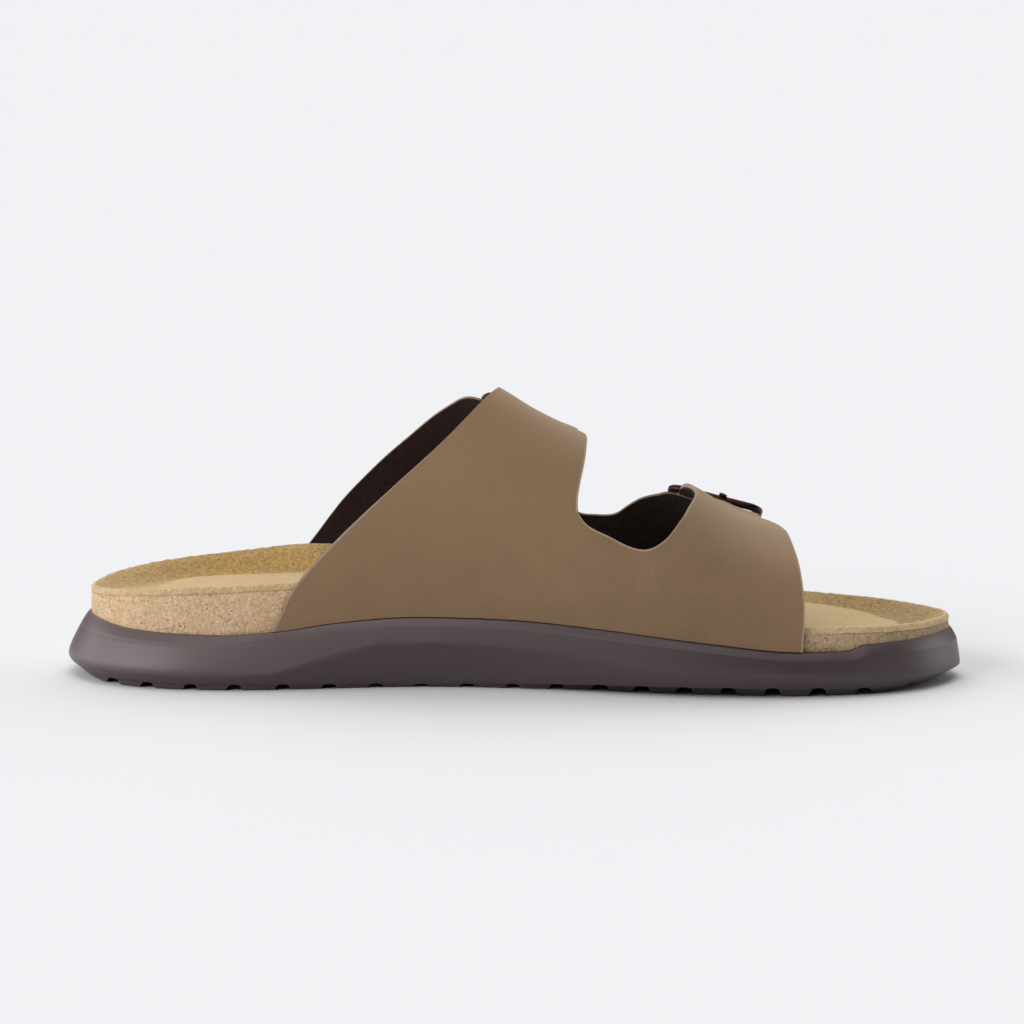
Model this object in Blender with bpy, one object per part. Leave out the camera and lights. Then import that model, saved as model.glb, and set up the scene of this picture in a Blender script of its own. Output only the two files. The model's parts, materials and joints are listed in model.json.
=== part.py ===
"""Double-buckle sandal for the left foot, standing empty on its sole.

Sizes are in millimetres and become metres when a mesh is made.
+X runs to the toe, +Y to the lateral (outer) side and +Z up.
Stations are measured along the sole from the back of the heel.
"""

import math

import bmesh
import bpy
import numpy as np

MM = 0.001

# Main sizes
SOLE_LENGTH = 290.0
HEEL_END_Y = 0.5
TOE_END_Y = -10.0
GAP = 0.3
TREAD_DEPTH = 3.2
INSOLE_THICKNESS = 1.5
STRAP_THICKNESS = 2.0

# Columns round the sole and the footbed, and the footbed's rings from its rim to its spine
COLUMNS = 96
SPINE_START = 40.0
SPINE_END = 250.0
FOOTBED_SHARES = (0.0, 0.04, 0.16, 0.3, 0.5, 0.8)
INSOLE_EDGE_DROP = 0.5

# Columns and rows of the quarters, their tongues and their tabs
REAR_COLUMNS = 9
NOTCH_COLUMNS = 8
FRONT_COLUMNS = 7
BASE_ROWS = 4
TONGUE_ROWS = {"rear": 22, "front": 17}
TAB_ROWS = {"rear": 10, "front": 7}

# Lugs
LUG_PITCH = 14.2
LUG_FIRST = 13.0
LUG_COUNT = 19
LUG_GAP_ROOT = 3.2
LUG_GAP_MOUTH = 5.0
LUG_SWEEP = 5.0

# Fullness of the straps' cross-section on each side
MEDIAL_FULLNESS = 2.25
LATERAL_FULLNESS = 1.85

# Buckles, with distances along the strap from the crown of the foot
FRAME_HALF_WIDTH = 14.7
FRAME_BAR = 3.2
FRAME_THICKNESS = 1.5
PIVOT_RADIUS = 0.9
PIVOT_HEIGHT = 3.4
UPPER_BAR_HEIGHT = 4.5
LOOP_OUTER_RADIUS = 2.0
LOOP_BORE_RADIUS = 1.2
LOOP_HALF_WIDTH = 10.0
PRONG_HALF_WIDTH = 1.2
PRONG_THICKNESS = 1.3
PRONG_CLEARANCE = 0.35
PRONG_SLOT_HALF = 2.4
FRAME_CORNER = 3.5
LAP_OVERLAP = 0.7
LAP_CLIMB = 6.0
LOOP_HUMP = 7.6


class Table:
    """Named columns against a first column, read by a monotone cubic."""

    def __init__(self, columns, rows):
        data = np.array(rows, float)
        self.key = data[:, 0]
        self.values = {name: data[:, i] for i, name in enumerate(columns)}

    def at(self, name, where):
        key = self.key
        value = self.values[name]
        step = np.diff(key)
        slope = np.diff(value) / step
        same = slope[:-1] * slope[1:] > 0
        mean = 2 * slope[:-1] * slope[1:] / np.where(same, slope[:-1] + slope[1:], 1)
        ends = np.concatenate([[slope[0]], np.where(same, mean, 0), [slope[-1]]])
        where = np.clip(np.asarray(where, float), key[0], key[-1])
        i = np.clip(np.searchsorted(key, where, "right") - 1, 0, len(step) - 1)
        t = (where - key[i]) / step[i]
        near = (1 + 2 * t) * (1 - t) ** 2 * value[i] + t * (1 - t) ** 2 * step[i] * ends[i]
        far = t * t * (3 - 2 * t) * value[i + 1] - t * t * (1 - t) * step[i] * ends[i + 1]
        return near + far


# Widest line of the sole, seen from above
SOLE_PLAN = (
    # station, medial, lateral
    (8, -20.5, 21.0),
    (25, -33.0, 33.5),
    (50, -38.0, 38.5),
    (85, -37.0, 41.0),
    (120, -35.0, 45.5),
    (155, -39.5, 50.5),
    (190, -48.5, 53.5),
    (215, -51.5, 52.5),
    (240, -50.0, 47.5),
    (262, -44.5, 37.0),
    (277, -34.5, 22.5),
    (286, -22.0, 5.5),
)

# Underside of the tread: heel flat, waist, forefoot flat, toe spring
TREAD = Table(
    ("station", "height"),
    (
        (0, 1.2), (14, 0.0), (84, 0.0), (122, 1.0), (162, 0.0),
        (246, 0.0), (270, 0.6), (290, 2.2),
    ),
)

# Heights on each side: shelf round the footbed, well under the footbed, widest line
SOLE_HEIGHTS = Table(
    (
        "station", "seat_medial", "seat_lateral", "well_medial", "well_lateral",
        "belly_medial", "belly_lateral",
    ),
    (
        (0, 20.4, 20.4, 18.2, 18.2, 7.4, 7.4),
        (20, 19.0, 19.0, 17.6, 17.6, 6.6, 6.6),
        (50, 18.2, 18.2, 17.0, 17.0, 6.2, 6.2),
        (68, 19.6, 18.5, 18.2, 17.2, 7.2, 6.4),
        (90, 22.0, 19.0, 20.4, 17.8, 12.6, 8.0),
        (113, 23.2, 19.6, 21.6, 18.4, 15.4, 9.0),
        (142, 22.6, 19.4, 21.0, 18.2, 14.2, 9.0),
        (172, 20.6, 18.3, 18.4, 16.6, 11.8, 8.6),
        (205, 17.3, 16.5, 14.4, 13.8, 9.0, 8.0),
        (239, 14.2, 14.4, 11.2, 11.2, 7.4, 7.4),
        (252, 14.5, 14.6, 11.0, 11.0, 6.6, 6.6),
        (258, 16.2, 16.2, 11.0, 11.0, 6.2, 6.2),
        (290, 16.4, 16.4, 12.4, 12.4, 5.6, 5.6),
    ),
)

# Insets from the widest line: tread edge, shoulder, footbed, and the shelf round the footbed
SOLE_INSETS = Table(
    ("station", "tread_medial", "tread_lateral", "shoulder", "shoulder_drop", "footbed", "shelf"),
    (
        (0, 6.0, 6.0, 4.0, 4.4, 7.8, 0.6),
        (20, 4.6, 4.6, 3.4, 3.6, 7.2, 0.6),
        (50, 3.6, 3.6, 2.6, 2.8, 6.6, 0.8),
        (66, 3.8, 3.4, 2.2, 2.6, 6.2, 2.5),
        (90, 6.4, 3.8, 1.7, 2.6, 5.8, 2.5),
        (113, 8.5, 4.2, 1.4, 2.6, 5.6, 2.5),
        (142, 7.4, 4.0, 1.3, 2.6, 5.4, 2.5),
        (172, 4.8, 3.4, 1.2, 2.6, 5.2, 2.5),
        (205, 3.2, 3.0, 1.2, 2.6, 5.2, 2.5),
        (242, 3.0, 3.0, 1.2, 2.6, 5.0, 2.5),
        (258, 3.4, 3.4, 1.3, 3.0, 4.2, 0.7),
        (290, 4.6, 4.6, 1.2, 3.4, 3.2, 0.6),
    ),
)

# Top of the footbed with its sock: rim heights, floor height and width of the sloping wall
FOOTBED = Table(
    ("station", "rim_medial", "rim_lateral", "floor", "wall_medial", "wall_lateral"),
    (
        (8, 27.8, 27.8, 25.6, 13, 13),
        (14, 29.0, 29.2, 25.8, 13, 13),
        (24, 30.6, 30.9, 26.2, 12, 12),
        (38, 32.0, 33.0, 26.6, 11, 11),
        (55, 33.0, 34.7, 27.0, 11, 11),
        (76, 34.4, 36.6, 27.6, 15, 12),
        (110, 39.5, 35.2, 29.4, 30, 16),
        (150, 34.5, 30.6, 27.4, 28, 18),
        (185, 27.6, 26.0, 22.4, 20, 16),
        (215, 23.6, 22.4, 18.4, 13, 12),
        (239, 22.0, 20.6, 16.6, 12, 12),
        (256, 21.9, 19.8, 16.0, 12, 12),
        (272, 21.4, 19.9, 16.2, 12, 12),
        (286, 20.8, 20.8, 17.0, 12, 12),
    ),
)

# Inside of the upper along the foot: height and side shift of its crown
LAST = Table(
    ("x", "crown", "crown_y"),
    (
        (-90, 114.0, 0.0),
        (-60, 110.5, -0.5),
        (-40, 106.0, -1.0),
        (-20, 99.2, -2.0),
        (-4, 91.0, -3.0),
        (6, 85.2, -4.0),
        (22, 77.2, -5.0),
        (40, 68.4, -7.0),
        (58, 59.4, -8.0),
        (72, 52.2, -8.0),
        (84, 47.0, -7.0),
        (100, 41.5, -7.0),
    ),
)

# Each strap at its buckle: middle, slant, tilt of the bars, end of the tab, bars, tip of the tongue
STRAPS = {
    "rear": {
        "middle": 7.6, "slant": -0.10, "tilt": 0.0,
        "tab_end": 14.5, "bar": 27.0, "pivot": 45.0, "tip": 76.0,
    },
    "front": {
        "middle": 65.8, "slant": 0.0, "tilt": 0.30,
        "tab_end": 18.0, "bar": 27.6, "pivot": 45.6, "tip": 67.0,
    },
}

# Edges of the medial quarter seen from the side, from the sole to the crown.
# A root is the point of an edge where the strap leaves the quarter.
MEDIAL_REAR_ROOT = 4
MEDIAL_FRONT_ROOT = 2
MEDIAL_REAR_EDGE = (
    (-75.2, 0), (-72, 24.2), (-65.5, 37.6), (-56.9, 47.2),
    (-42, 61.4), (-31, 71.7), (-16.9, 84.1),
)
MEDIAL_NOTCH = (
    (20.9, 57.4), (24.4, 54.4), (31.8, 50.6), (37.1, 48.2),
    (41.3, 46.8), (44.4, 47.1), (48.7, 49.8), (53.1, 54.5),
)
MEDIAL_NOTCH_REAR = ((20.9, 57.4), (20.5, 60.7), (21.8, 69.5), (23.3, 75.0))
MEDIAL_NOTCH_FRONT = ((53.1, 54.5), (56.2, 57.6))
MEDIAL_FRONT_EDGE = ((90.8, 0), (91.1, 24.7), (90.7, 34.0), (89.8, 39.7))

# Edges of the tongues past the crown: along the foot, round the foot from the crown
TONGUE_EDGES = {
    "rear": {
        "back": ((-5.2, 0.0), (-5.6, 14.0), (-6.4, 28.0), (-8.0, 46.0), (-9.2, 62.0)),
        "front": ((22.4, 0.0), (18.0, 12.0), (15.2, 28.0), (13.4, 46.0), (11.8, 62.0)),
    },
    "front": {
        "back": ((58.3, 0.0), (56.8, 14.0), (56.0, 28.0), (55.6, 44.0), (55.6, 56.0)),
        "front": ((86.6, 0.0), (80.4, 14.0), (77.0, 28.0), (76.2, 44.0), (76.0, 56.0)),
    },
}

# Edges of the lateral quarter seen from the side, and of its tabs round the foot from the crown
LATERAL_ROOT = 2
LATERAL_REAR_EDGE = (
    (-78, 0), (-68, 35.6), (-61, 44.6), (-54.4, 52.6),
    (-44.3, 63.8), (-34.2, 72.4), (-25.2, 79.6), (-17.4, 84.9),
)
LATERAL_REAR_TAB = ((-9.5, 17.0), (-5.8, 14.5))
LATERAL_NOTCH = ((17.5, 53.0), (18.4, 48.5), (22.5, 45.2), (31.5, 44.6), (37.0, 47.0), (42.5, 50.2))
LATERAL_NOTCH_REAR = ((18.8, 46.0), (19.0, 28.0), (18.0, 14.5))
LATERAL_NOTCH_FRONT = ((47.4, 38.0), (55.4, 18.0))
LATERAL_FRONT_EDGE = ((84, 0), (84.2, 22.0), (83.6, 31.0))
LATERAL_FRONT_TAB = ((82.0, 34.0), (78.6, 18.0))


def spline(points, closed=False):
    """Cubic through the points by chord length, as a function of the share along it."""
    points = np.array(points, float)
    wrap = 0
    if closed:
        wrap = 6
        points = np.vstack([points[-wrap:], points, points[: wrap + 1]])
    knot = np.concatenate([[0], np.cumsum(np.linalg.norm(np.diff(points, axis=0), axis=1))])
    step = np.diff(knot)
    slope = np.diff(points, axis=0) / step[:, None]
    last = len(points) - 1
    matrix = np.zeros((last + 1, last + 1))
    right = np.zeros(points.shape)
    matrix[0, :2] = 2, 1
    matrix[last, -2:] = 1, 2
    right[0] = 3 * slope[0]
    right[last] = 3 * slope[-1]
    for i in range(1, last):
        matrix[i, i - 1 : i + 2] = step[i], 2 * (step[i - 1] + step[i]), step[i - 1]
        right[i] = 3 * (step[i] * slope[i - 1] + step[i - 1] * slope[i])
    ends = np.linalg.solve(matrix, right)
    first_knot = knot[wrap]
    last_knot = knot[last - wrap]

    def curve(share):
        where = first_knot + np.clip(np.asarray(share, float), 0, 1) * (last_knot - first_knot)
        i = np.clip(np.searchsorted(knot, where, "right") - 1, 0, last - 1)
        t = ((where - knot[i]) / step[i])[..., None]
        length = step[i][..., None]
        near = (1 + 2 * t) * (1 - t) ** 2 * points[i] + t * (1 - t) ** 2 * length * ends[i]
        far = t * t * (3 - 2 * t) * points[i + 1] - t * t * (1 - t) * length * ends[i + 1]
        return near + far

    return curve


def even(path, count):
    """The polyline resampled to count equal lengths."""
    run = np.concatenate([[0], np.cumsum(np.linalg.norm(np.diff(path, axis=0), axis=1))])
    where = np.linspace(0, run[-1], count + 1)
    return np.column_stack([np.interp(where, run, path[:, i]) for i in range(path.shape[1])])


def edge(points, root=None, counts=(8,)):
    """Smooth edge through the points, resampled; with a root point it is cut there in two."""
    points = np.array(points, float)
    fine = spline(points)(np.linspace(0, 1, 801))
    if root is None:
        return even(fine, counts[0])
    cut = np.argmin(np.linalg.norm(fine - points[root], axis=1))
    return even(fine[: cut + 1], counts[0]), even(fine[cut:], counts[1])


class Outline:
    """Even columns round the sole's widest line: heel end, medial side, toe end, lateral side."""

    def __init__(self, columns):
        half = SOLE_LENGTH / 2
        medial = [(station - half, y) for station, y, _ in SOLE_PLAN]
        lateral = [(station - half, y) for station, _, y in SOLE_PLAN]
        points = [(-half, HEEL_END_Y)] + medial + [(half, TOE_END_Y)] + lateral[::-1]
        fine = spline(points, closed=True)(np.linspace(0, 1, 6000, endpoint=False))
        fine -= (fine.max(axis=0) + fine.min(axis=0)) / 2
        fine = np.roll(fine, -np.argmin(fine[:, 0]), axis=0)
        toe = np.argmax(fine[:, 0])
        closed = np.vstack([fine, fine[:1]])
        self.half = columns // 2
        sides = [even(closed[: toe + 1], self.half)[:-1], even(closed[toe:], self.half)[:-1]]
        self.xy = np.vstack(sides)
        tangent = np.roll(self.xy, -1, axis=0) - np.roll(self.xy, 1, axis=0)
        tangent /= np.linalg.norm(tangent, axis=1)[:, None]
        self.out = np.column_stack([tangent[:, 1], -tangent[:, 0]])
        self.station = self.xy[:, 0] + half
        self.medial = np.arange(columns) <= self.half

    def side(self, table, name, station=None):
        """The table's medial or lateral column at each column of the outline."""
        where = self.station if station is None else station
        medial = table.at(name + "_medial", where)
        lateral = table.at(name + "_lateral", where)
        return np.where(self.medial, medial, lateral)

    def inset(self, amount):
        return self.xy - self.out * np.asarray(amount)[..., None]


def material(name, colour, roughness, metallic=0.0):
    made = bpy.data.materials.new(name)
    made.use_nodes = True
    shader = made.node_tree.nodes["Principled BSDF"]
    shader.inputs["Base Color"].default_value = (*colour, 1.0)
    shader.inputs["Roughness"].default_value = roughness
    shader.inputs["Metallic"].default_value = metallic
    return made


def mesh_object(name, points, faces, finish=None):
    """New object from points in millimetres."""
    mesh = bpy.data.meshes.new(name)
    mesh.from_pydata((np.asarray(points) * MM).tolist(), [], faces)
    made = bpy.data.objects.new(name, mesh)
    bpy.context.collection.objects.link(made)
    if finish is not None:
        made.data.materials.append(finish)
        mesh.shade_smooth()
        mesh.set_sharp_from_angle(angle=math.radians(38))
    else:
        made.hide_render = True
        made.display_type = "WIRE"
    return made


def boolean(target, operation, tool):
    modifier = target.modifiers.new(tool.name, "BOOLEAN")
    modifier.operation = operation
    modifier.solver = "EXACT"
    modifier.object = tool


def loft(name, rings, finish, turned=0):
    """Closed body through rings of equal columns, its end rings closed by rungs from side to side.

    The first bands, as many as turned says, are split along the other diagonal.
    """
    columns = len(rings[0])
    faces = []
    for k in range(len(rings) - 1):
        for i in range(columns):
            j = (i + 1) % columns
            quad = [k * columns + i, k * columns + j, (k + 1) * columns + j, (k + 1) * columns + i]
            if k < turned:
                quad = quad[1:] + quad[:1]
            faces.append((quad[0], quad[1], quad[2]))
            faces.append((quad[0], quad[2], quad[3]))
    top = (len(rings) - 1) * columns
    for i in range(columns // 2):
        rung = [i, i + 1, columns - i - 1, (columns - i) % columns]
        rung = list(dict.fromkeys(rung))
        faces.append(tuple(reversed(rung)))
        faces.append(tuple(top + corner for corner in rung))
    return mesh_object(name, np.vstack(rings), faces, finish)


def ring(xy, height):
    return np.column_stack([xy, height])


def build_outsole(finish):
    line = Outline(COLUMNS)
    seat = line.side(SOLE_HEIGHTS, "seat")
    belly = line.side(SOLE_HEIGHTS, "belly")
    tread_in = line.side(SOLE_INSETS, "tread")
    shoulder_in = SOLE_INSETS.at("shoulder", line.station)
    shoulder = seat - SOLE_INSETS.at("shoulder_drop", line.station)
    seat_in = SOLE_INSETS.at("footbed", line.station) - SOLE_INSETS.at("shelf", line.station)
    well_in = SOLE_INSETS.at("footbed", line.station) - GAP
    tread = TREAD.at("height", line.station)
    root = tread + TREAD_DEPTH
    rings = [
        ring(line.inset(tread_in + 0.9), tread),
        ring(line.inset(tread_in), root),
        ring(line.inset(tread_in * 0.34), root + 0.5 * (belly - root)),
        ring(line.inset(0 * tread_in), belly),
        ring(line.inset(shoulder_in * 0.38), belly + 0.58 * (shoulder - belly)),
        ring(line.inset(shoulder_in), shoulder),
        ring(line.inset(shoulder_in + 0.62 * (seat_in - shoulder_in)), seat - 0.3 * (seat - shoulder)),
        ring(line.inset(seat_in), seat),
        ring(line.inset(well_in), seat),
        ring(line.inset(well_in), line.side(SOLE_HEIGHTS, "well")),
    ]
    sole = loft("outsole", rings, finish)
    boolean(sole, "DIFFERENCE", lug_cutter())
    return sole


def lug_cutter():
    """Swept grooves across the tread, wider at the mouth than at the root."""
    points = []
    faces = []
    half = SOLE_LENGTH / 2
    for k in range(LUG_COUNT):
        station = LUG_FIRST + k * LUG_PITCH
        root = TREAD.at("height", station) + TREAD_DEPTH
        base = len(points)
        for y, forward in ((-70, 0.0), (0, LUG_SWEEP), (70, 0.0)):
            x = station - half + forward
            points += [
                (x - LUG_GAP_MOUTH / 2, y, -2.0),
                (x + LUG_GAP_MOUTH / 2, y, -2.0),
                (x + LUG_GAP_ROOT / 2, y, root),
                (x - LUG_GAP_ROOT / 2, y, root),
            ]
        for part in (0, 4):
            for i in range(4):
                j = (i + 1) % 4
                a = base + part
                faces.append((a + j, a + i, a + 4 + i, a + 4 + j))
        faces.append((base, base + 1, base + 2, base + 3))
        faces.append((base + 11, base + 10, base + 9, base + 8))
    return mesh_object("lug_cutter", points, faces)


def footbed_ring(line, share, drop):
    """Ring across the footbed's top at a share of the way from rim to middle, lowered by drop."""
    rim = line.inset(SOLE_INSETS.at("footbed", line.station))
    columns = len(rim)
    order = np.minimum(np.arange(columns), columns - np.arange(columns)) / line.half
    spine_x = SPINE_START + order * (SPINE_END - SPINE_START) - SOLE_LENGTH / 2
    halfway = line.half
    medial_y = np.interp(spine_x, rim[: halfway + 1, 0], rim[: halfway + 1, 1])
    back = np.vstack([rim[halfway:], rim[:1]])[::-1]
    lateral_y = np.interp(spine_x, back[:, 0], back[:, 1])
    spine = np.column_stack([spine_x, (medial_y + lateral_y) / 2])
    xy = rim + share * (spine - rim)
    reach = share * np.linalg.norm(spine - rim, axis=1)
    rim_station = rim[:, 0] + SOLE_LENGTH / 2
    rim_height = line.side(FOOTBED, "rim", rim_station)
    wall = line.side(FOOTBED, "wall", rim_station)
    floor = FOOTBED.at("floor", xy[:, 0] + SOLE_LENGTH / 2)
    fall = 0.5 + 0.5 * np.cos(np.pi * np.clip(reach / wall, 0, 1))
    return ring(xy, floor + (rim_height - floor) * fall - drop)


def build_cork(finish):
    line = Outline(COLUMNS)
    inset = SOLE_INSETS.at("footbed", line.station)
    rings = [ring(line.inset(inset), line.side(SOLE_HEIGHTS, "well") + GAP)]
    rings += [footbed_ring(line, share, INSOLE_THICKNESS + GAP) for share in FOOTBED_SHARES]
    return loft("cork_footbed", rings, finish)


def build_insole(finish):
    line = Outline(COLUMNS)
    under = [footbed_ring(line, share, INSOLE_THICKNESS) for share in reversed(FOOTBED_SHARES)]
    over = [footbed_ring(line, share, INSOLE_EDGE_DROP if share == 0 else 0.0) for share in FOOTBED_SHARES]
    return loft("insole", under + over, finish, len(under) - 1)


class Last:
    """Inside of the upper: a straight wall beside the footbed, then a full arch over the foot."""

    def __init__(self):
        line = Outline(800)
        wall = line.inset(SOLE_INSETS.at("footbed", line.station) - GAP)
        self.medial = wall[: line.half + 1]
        self.lateral = np.vstack([wall[line.half :], wall[:1]])[::-1]
        self.sections = {}

    def section(self, x):
        """Points of the cross-section at x with their distance round the foot from the crown."""
        key = round(float(x), 4)
        if key not in self.sections:
            station = x + SOLE_LENGTH / 2
            crown = float(LAST.at("crown", x))
            crown_y = float(LAST.at("crown_y", x))
            turn = np.linspace(0, np.pi / 2, 40)
            halves = []
            for side, wall, fullness in (
                ("medial", self.medial, MEDIAL_FULLNESS),
                ("lateral", self.lateral, LATERAL_FULLNESS),
            ):
                wall_y = float(np.interp(x, wall[:, 0], wall[:, 1]))
                base = float(SOLE_HEIGHTS.at("seat_" + side, station)) + GAP
                spring = float(FOOTBED.at("rim_" + side, station)) + 1.0
                y = crown_y + (wall_y - crown_y) * np.cos(turn) ** (2 / fullness)
                z = spring + (crown - spring) * np.sin(turn) ** (2 / fullness)
                halves.append((np.concatenate([[wall_y], y]), np.concatenate([[base], z])))
            y = np.concatenate([halves[0][0], halves[1][0][-2::-1]])
            z = np.concatenate([halves[0][1], halves[1][1][-2::-1]])
            run = np.concatenate([[0], np.cumsum(np.hypot(np.diff(y), np.diff(z)))])
            self.sections[key] = (y, z, run - run[len(turn)])
        return self.sections[key]

    def point(self, x, w):
        y, z, run = self.section(x)
        return np.array([x, np.interp(w, run, y), np.interp(w, run, z)])

    def normal(self, x, w):
        along = self.point(x + 0.5, w) - self.point(x - 0.5, w)
        around = self.point(x, w + 0.8) - self.point(x, w - 0.8)
        out = np.cross(along, around)
        return out / np.linalg.norm(out)

    def at_height(self, x, z, side):
        """Distance round the foot at which the section at x has height z."""
        _, height, run = self.section(x)
        if side == "medial":
            return float(np.interp(z, height[run <= 0], run[run <= 0]))
        return float(np.interp(z, height[run >= 0][::-1], run[run >= 0][::-1]))

    def from_side(self, rows, side):
        return [(x, self.at_height(x, z, side)) for x, z in rows]

    def sole_line(self, xs, side):
        return np.array(self.from_side([(x, 0) for x in xs], side))


def patch(bottom, top, left, right):
    """Grid between four edges, as rows from bottom to top."""
    across = np.linspace(0, 1, len(bottom))[:, None]
    rows = []
    for i, share in enumerate(np.linspace(0, 1, len(left))):
        row = (1 - share) * bottom + share * top
        row = row + (1 - across) * (left[i] - row[0]) + across * (right[i] - row[-1])
        rows.append(row)
    return np.array(rows)


def line_between(start, end, count):
    share = np.linspace(0, 1, count + 1)[:, None]
    return (1 - share) * np.array(start, float) + share * np.array(end, float)


def rounded_end(start, end, tip, count):
    """Half-oval from start to end that reaches tip."""
    turn = np.linspace(-np.pi / 2, np.pi / 2, count + 1)[:, None]
    middle = (np.array(start) + np.array(end)) / 2
    across = (np.array(end) - np.array(start)) / 2
    return middle + across * np.sin(turn) + np.array([[0.0, tip - middle[1]]]) * np.cos(turn)


def quarter_sheet(last, patches, lift):
    """Sheet of quads on the last from patches that share their edges."""
    index = {}
    points = []
    faces = []
    for grid in patches:
        ids = []
        for row in grid:
            ids.append([])
            for x, w in row:
                key = (round(x, 3), round(w, 3))
                if key not in index:
                    index[key] = len(points)
                    points.append(last.point(x, w) + last.normal(x, w) * lift(x, w))
                ids[-1].append(index[key])
        for r in range(len(ids) - 1):
            for c in range(len(ids[0]) - 1):
                faces.append((ids[r][c], ids[r][c + 1], ids[r + 1][c + 1], ids[r + 1][c]))
    return points, faces


def tongue_lift(x, w):
    """Height of the tongue's underside: on the foot, then on the tab and over the buckle's loop."""
    strap = STRAPS["rear" if x < 40 else "front"]
    w = w + strap["tilt"] * (x - strap["middle"])
    climb = np.clip((w - strap["tab_end"]) / LAP_CLIMB + 1, 0, 1)
    on_tab = (STRAP_THICKNESS - LAP_OVERLAP) * climb * climb * (3 - 2 * climb)
    over = PIVOT_HEIGHT + LOOP_OUTER_RADIUS - STRAP_THICKNESS + LAP_OVERLAP + GAP
    return on_tab + over * np.exp(-(((w - strap["pivot"]) / LOOP_HUMP) ** 2))


def medial_patches(last):
    rear = last.from_side(MEDIAL_REAR_EDGE, "medial") + list(TONGUE_EDGES["rear"]["back"])
    front = last.from_side(MEDIAL_FRONT_EDGE, "medial") + list(TONGUE_EDGES["front"]["front"])
    notch_rear = last.from_side(MEDIAL_NOTCH_REAR, "medial") + list(TONGUE_EDGES["rear"]["front"])
    notch_front = last.from_side(MEDIAL_NOTCH_FRONT, "medial") + list(TONGUE_EDGES["front"]["back"])
    rear_base, rear_arm = edge(rear, MEDIAL_REAR_ROOT, (BASE_ROWS, TONGUE_ROWS["rear"]))
    front_base, front_arm = edge(front, MEDIAL_FRONT_ROOT, (BASE_ROWS, TONGUE_ROWS["front"]))
    notch = edge(last.from_side(MEDIAL_NOTCH, "medial"), counts=(NOTCH_COLUMNS,))
    rear_root = line_between(rear_arm[0], notch[0], REAR_COLUMNS)
    front_root = line_between(notch[-1], front_arm[0], FRONT_COLUMNS)
    rear_notch = edge(notch_rear, counts=(TONGUE_ROWS["rear"],))
    front_notch = edge(notch_front, counts=(TONGUE_ROWS["front"],))
    rear_tip = rounded_end(rear_arm[-1], rear_notch[-1], STRAPS["rear"]["tip"], REAR_COLUMNS)
    front_tip = rounded_end(front_notch[-1], front_arm[-1], STRAPS["front"]["tip"], FRONT_COLUMNS)
    top = np.vstack([rear_root, notch[1:], front_root[1:]])
    bottom = base_line(last, "medial", rear_base[0], notch[0], notch[-1], front_base[0])
    return [
        patch(bottom, top, rear_base, front_base),
        patch(rear_root, rear_tip, rear_arm, rear_notch),
        patch(front_root, front_tip, front_notch, front_arm),
    ]


def base_line(last, side, rear, notch_rear, notch_front, front):
    xs = np.concatenate(
        [
            np.linspace(rear[0], notch_rear[0], REAR_COLUMNS + 1),
            np.linspace(notch_rear[0], notch_front[0], NOTCH_COLUMNS + 1)[1:],
            np.linspace(notch_front[0], front[0], FRONT_COLUMNS + 1)[1:],
        ]
    )
    return last.sole_line(xs, side)


def lateral_patches(last):
    rear = last.from_side(LATERAL_REAR_EDGE, "lateral") + list(LATERAL_REAR_TAB)
    front = last.from_side(LATERAL_FRONT_EDGE, "lateral") + list(LATERAL_FRONT_TAB)
    rear_base, rear_tab = edge(rear, LATERAL_ROOT, (BASE_ROWS, TAB_ROWS["rear"]))
    front_base, front_tab = edge(front, LATERAL_ROOT, (BASE_ROWS, TAB_ROWS["front"]))
    notch = edge(last.from_side(LATERAL_NOTCH, "lateral"), counts=(NOTCH_COLUMNS,))
    rear_notch = edge([tuple(notch[0])] + list(LATERAL_NOTCH_REAR), counts=(TAB_ROWS["rear"],))
    front_notch = edge([tuple(notch[-1])] + list(LATERAL_NOTCH_FRONT), counts=(TAB_ROWS["front"],))
    rear_root = line_between(rear_tab[0], notch[0], REAR_COLUMNS)
    front_root = line_between(notch[-1], front_tab[0], FRONT_COLUMNS)
    rear_end = line_between(rear_tab[-1], rear_notch[-1], REAR_COLUMNS)
    front_end = line_between(front_notch[-1], front_tab[-1], FRONT_COLUMNS)
    top = np.vstack([rear_root, notch[1:], front_root[1:]])
    bottom = base_line(last, "lateral", rear_base[0], notch[0], notch[-1], front_base[0])
    return [
        patch(bottom, top, rear_base, front_base),
        patch(rear_root, rear_end, rear_tab, rear_notch),
        patch(front_root, front_end, front_notch, front_tab),
    ]


def sheet_object(name, points, faces, flip, finish=None):
    if flip:
        faces = [tuple(reversed(face)) for face in faces]
    made = mesh_object(name, points, faces, finish)
    solidify = made.modifiers.new("thickness", "SOLIDIFY")
    solidify.thickness = STRAP_THICKNESS * MM
    solidify.offset = 1.0
    solidify.use_even_offset = True
    return made


def place(last, strap, u, w, n):
    """Point on a strap: u along the foot from its middle, w round the foot, n out from the foot."""
    size = STRAPS[strap]
    x = size["middle"] + size["slant"] * w + u
    w = w - size["tilt"] * u
    return last.point(x, w) + last.normal(x, w) * n


def build_upper(last, bores, finish):
    points, faces = quarter_sheet(last, medial_patches(last), tongue_lift)
    upper = sheet_object("upper", points, faces, False, finish)
    points, faces = quarter_sheet(last, lateral_patches(last), lambda x, w: 0.0)
    boolean(upper, "UNION", sheet_object("lateral_quarter", points, faces, True))
    loops = buckle_loops(last)
    boolean(upper, "UNION", loops)
    for strap in STRAPS:
        boolean(loops, "DIFFERENCE", bores[strap])
        boolean(upper, "DIFFERENCE", prong_blank(last, strap, PRONG_CLEARANCE))
    return upper


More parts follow.
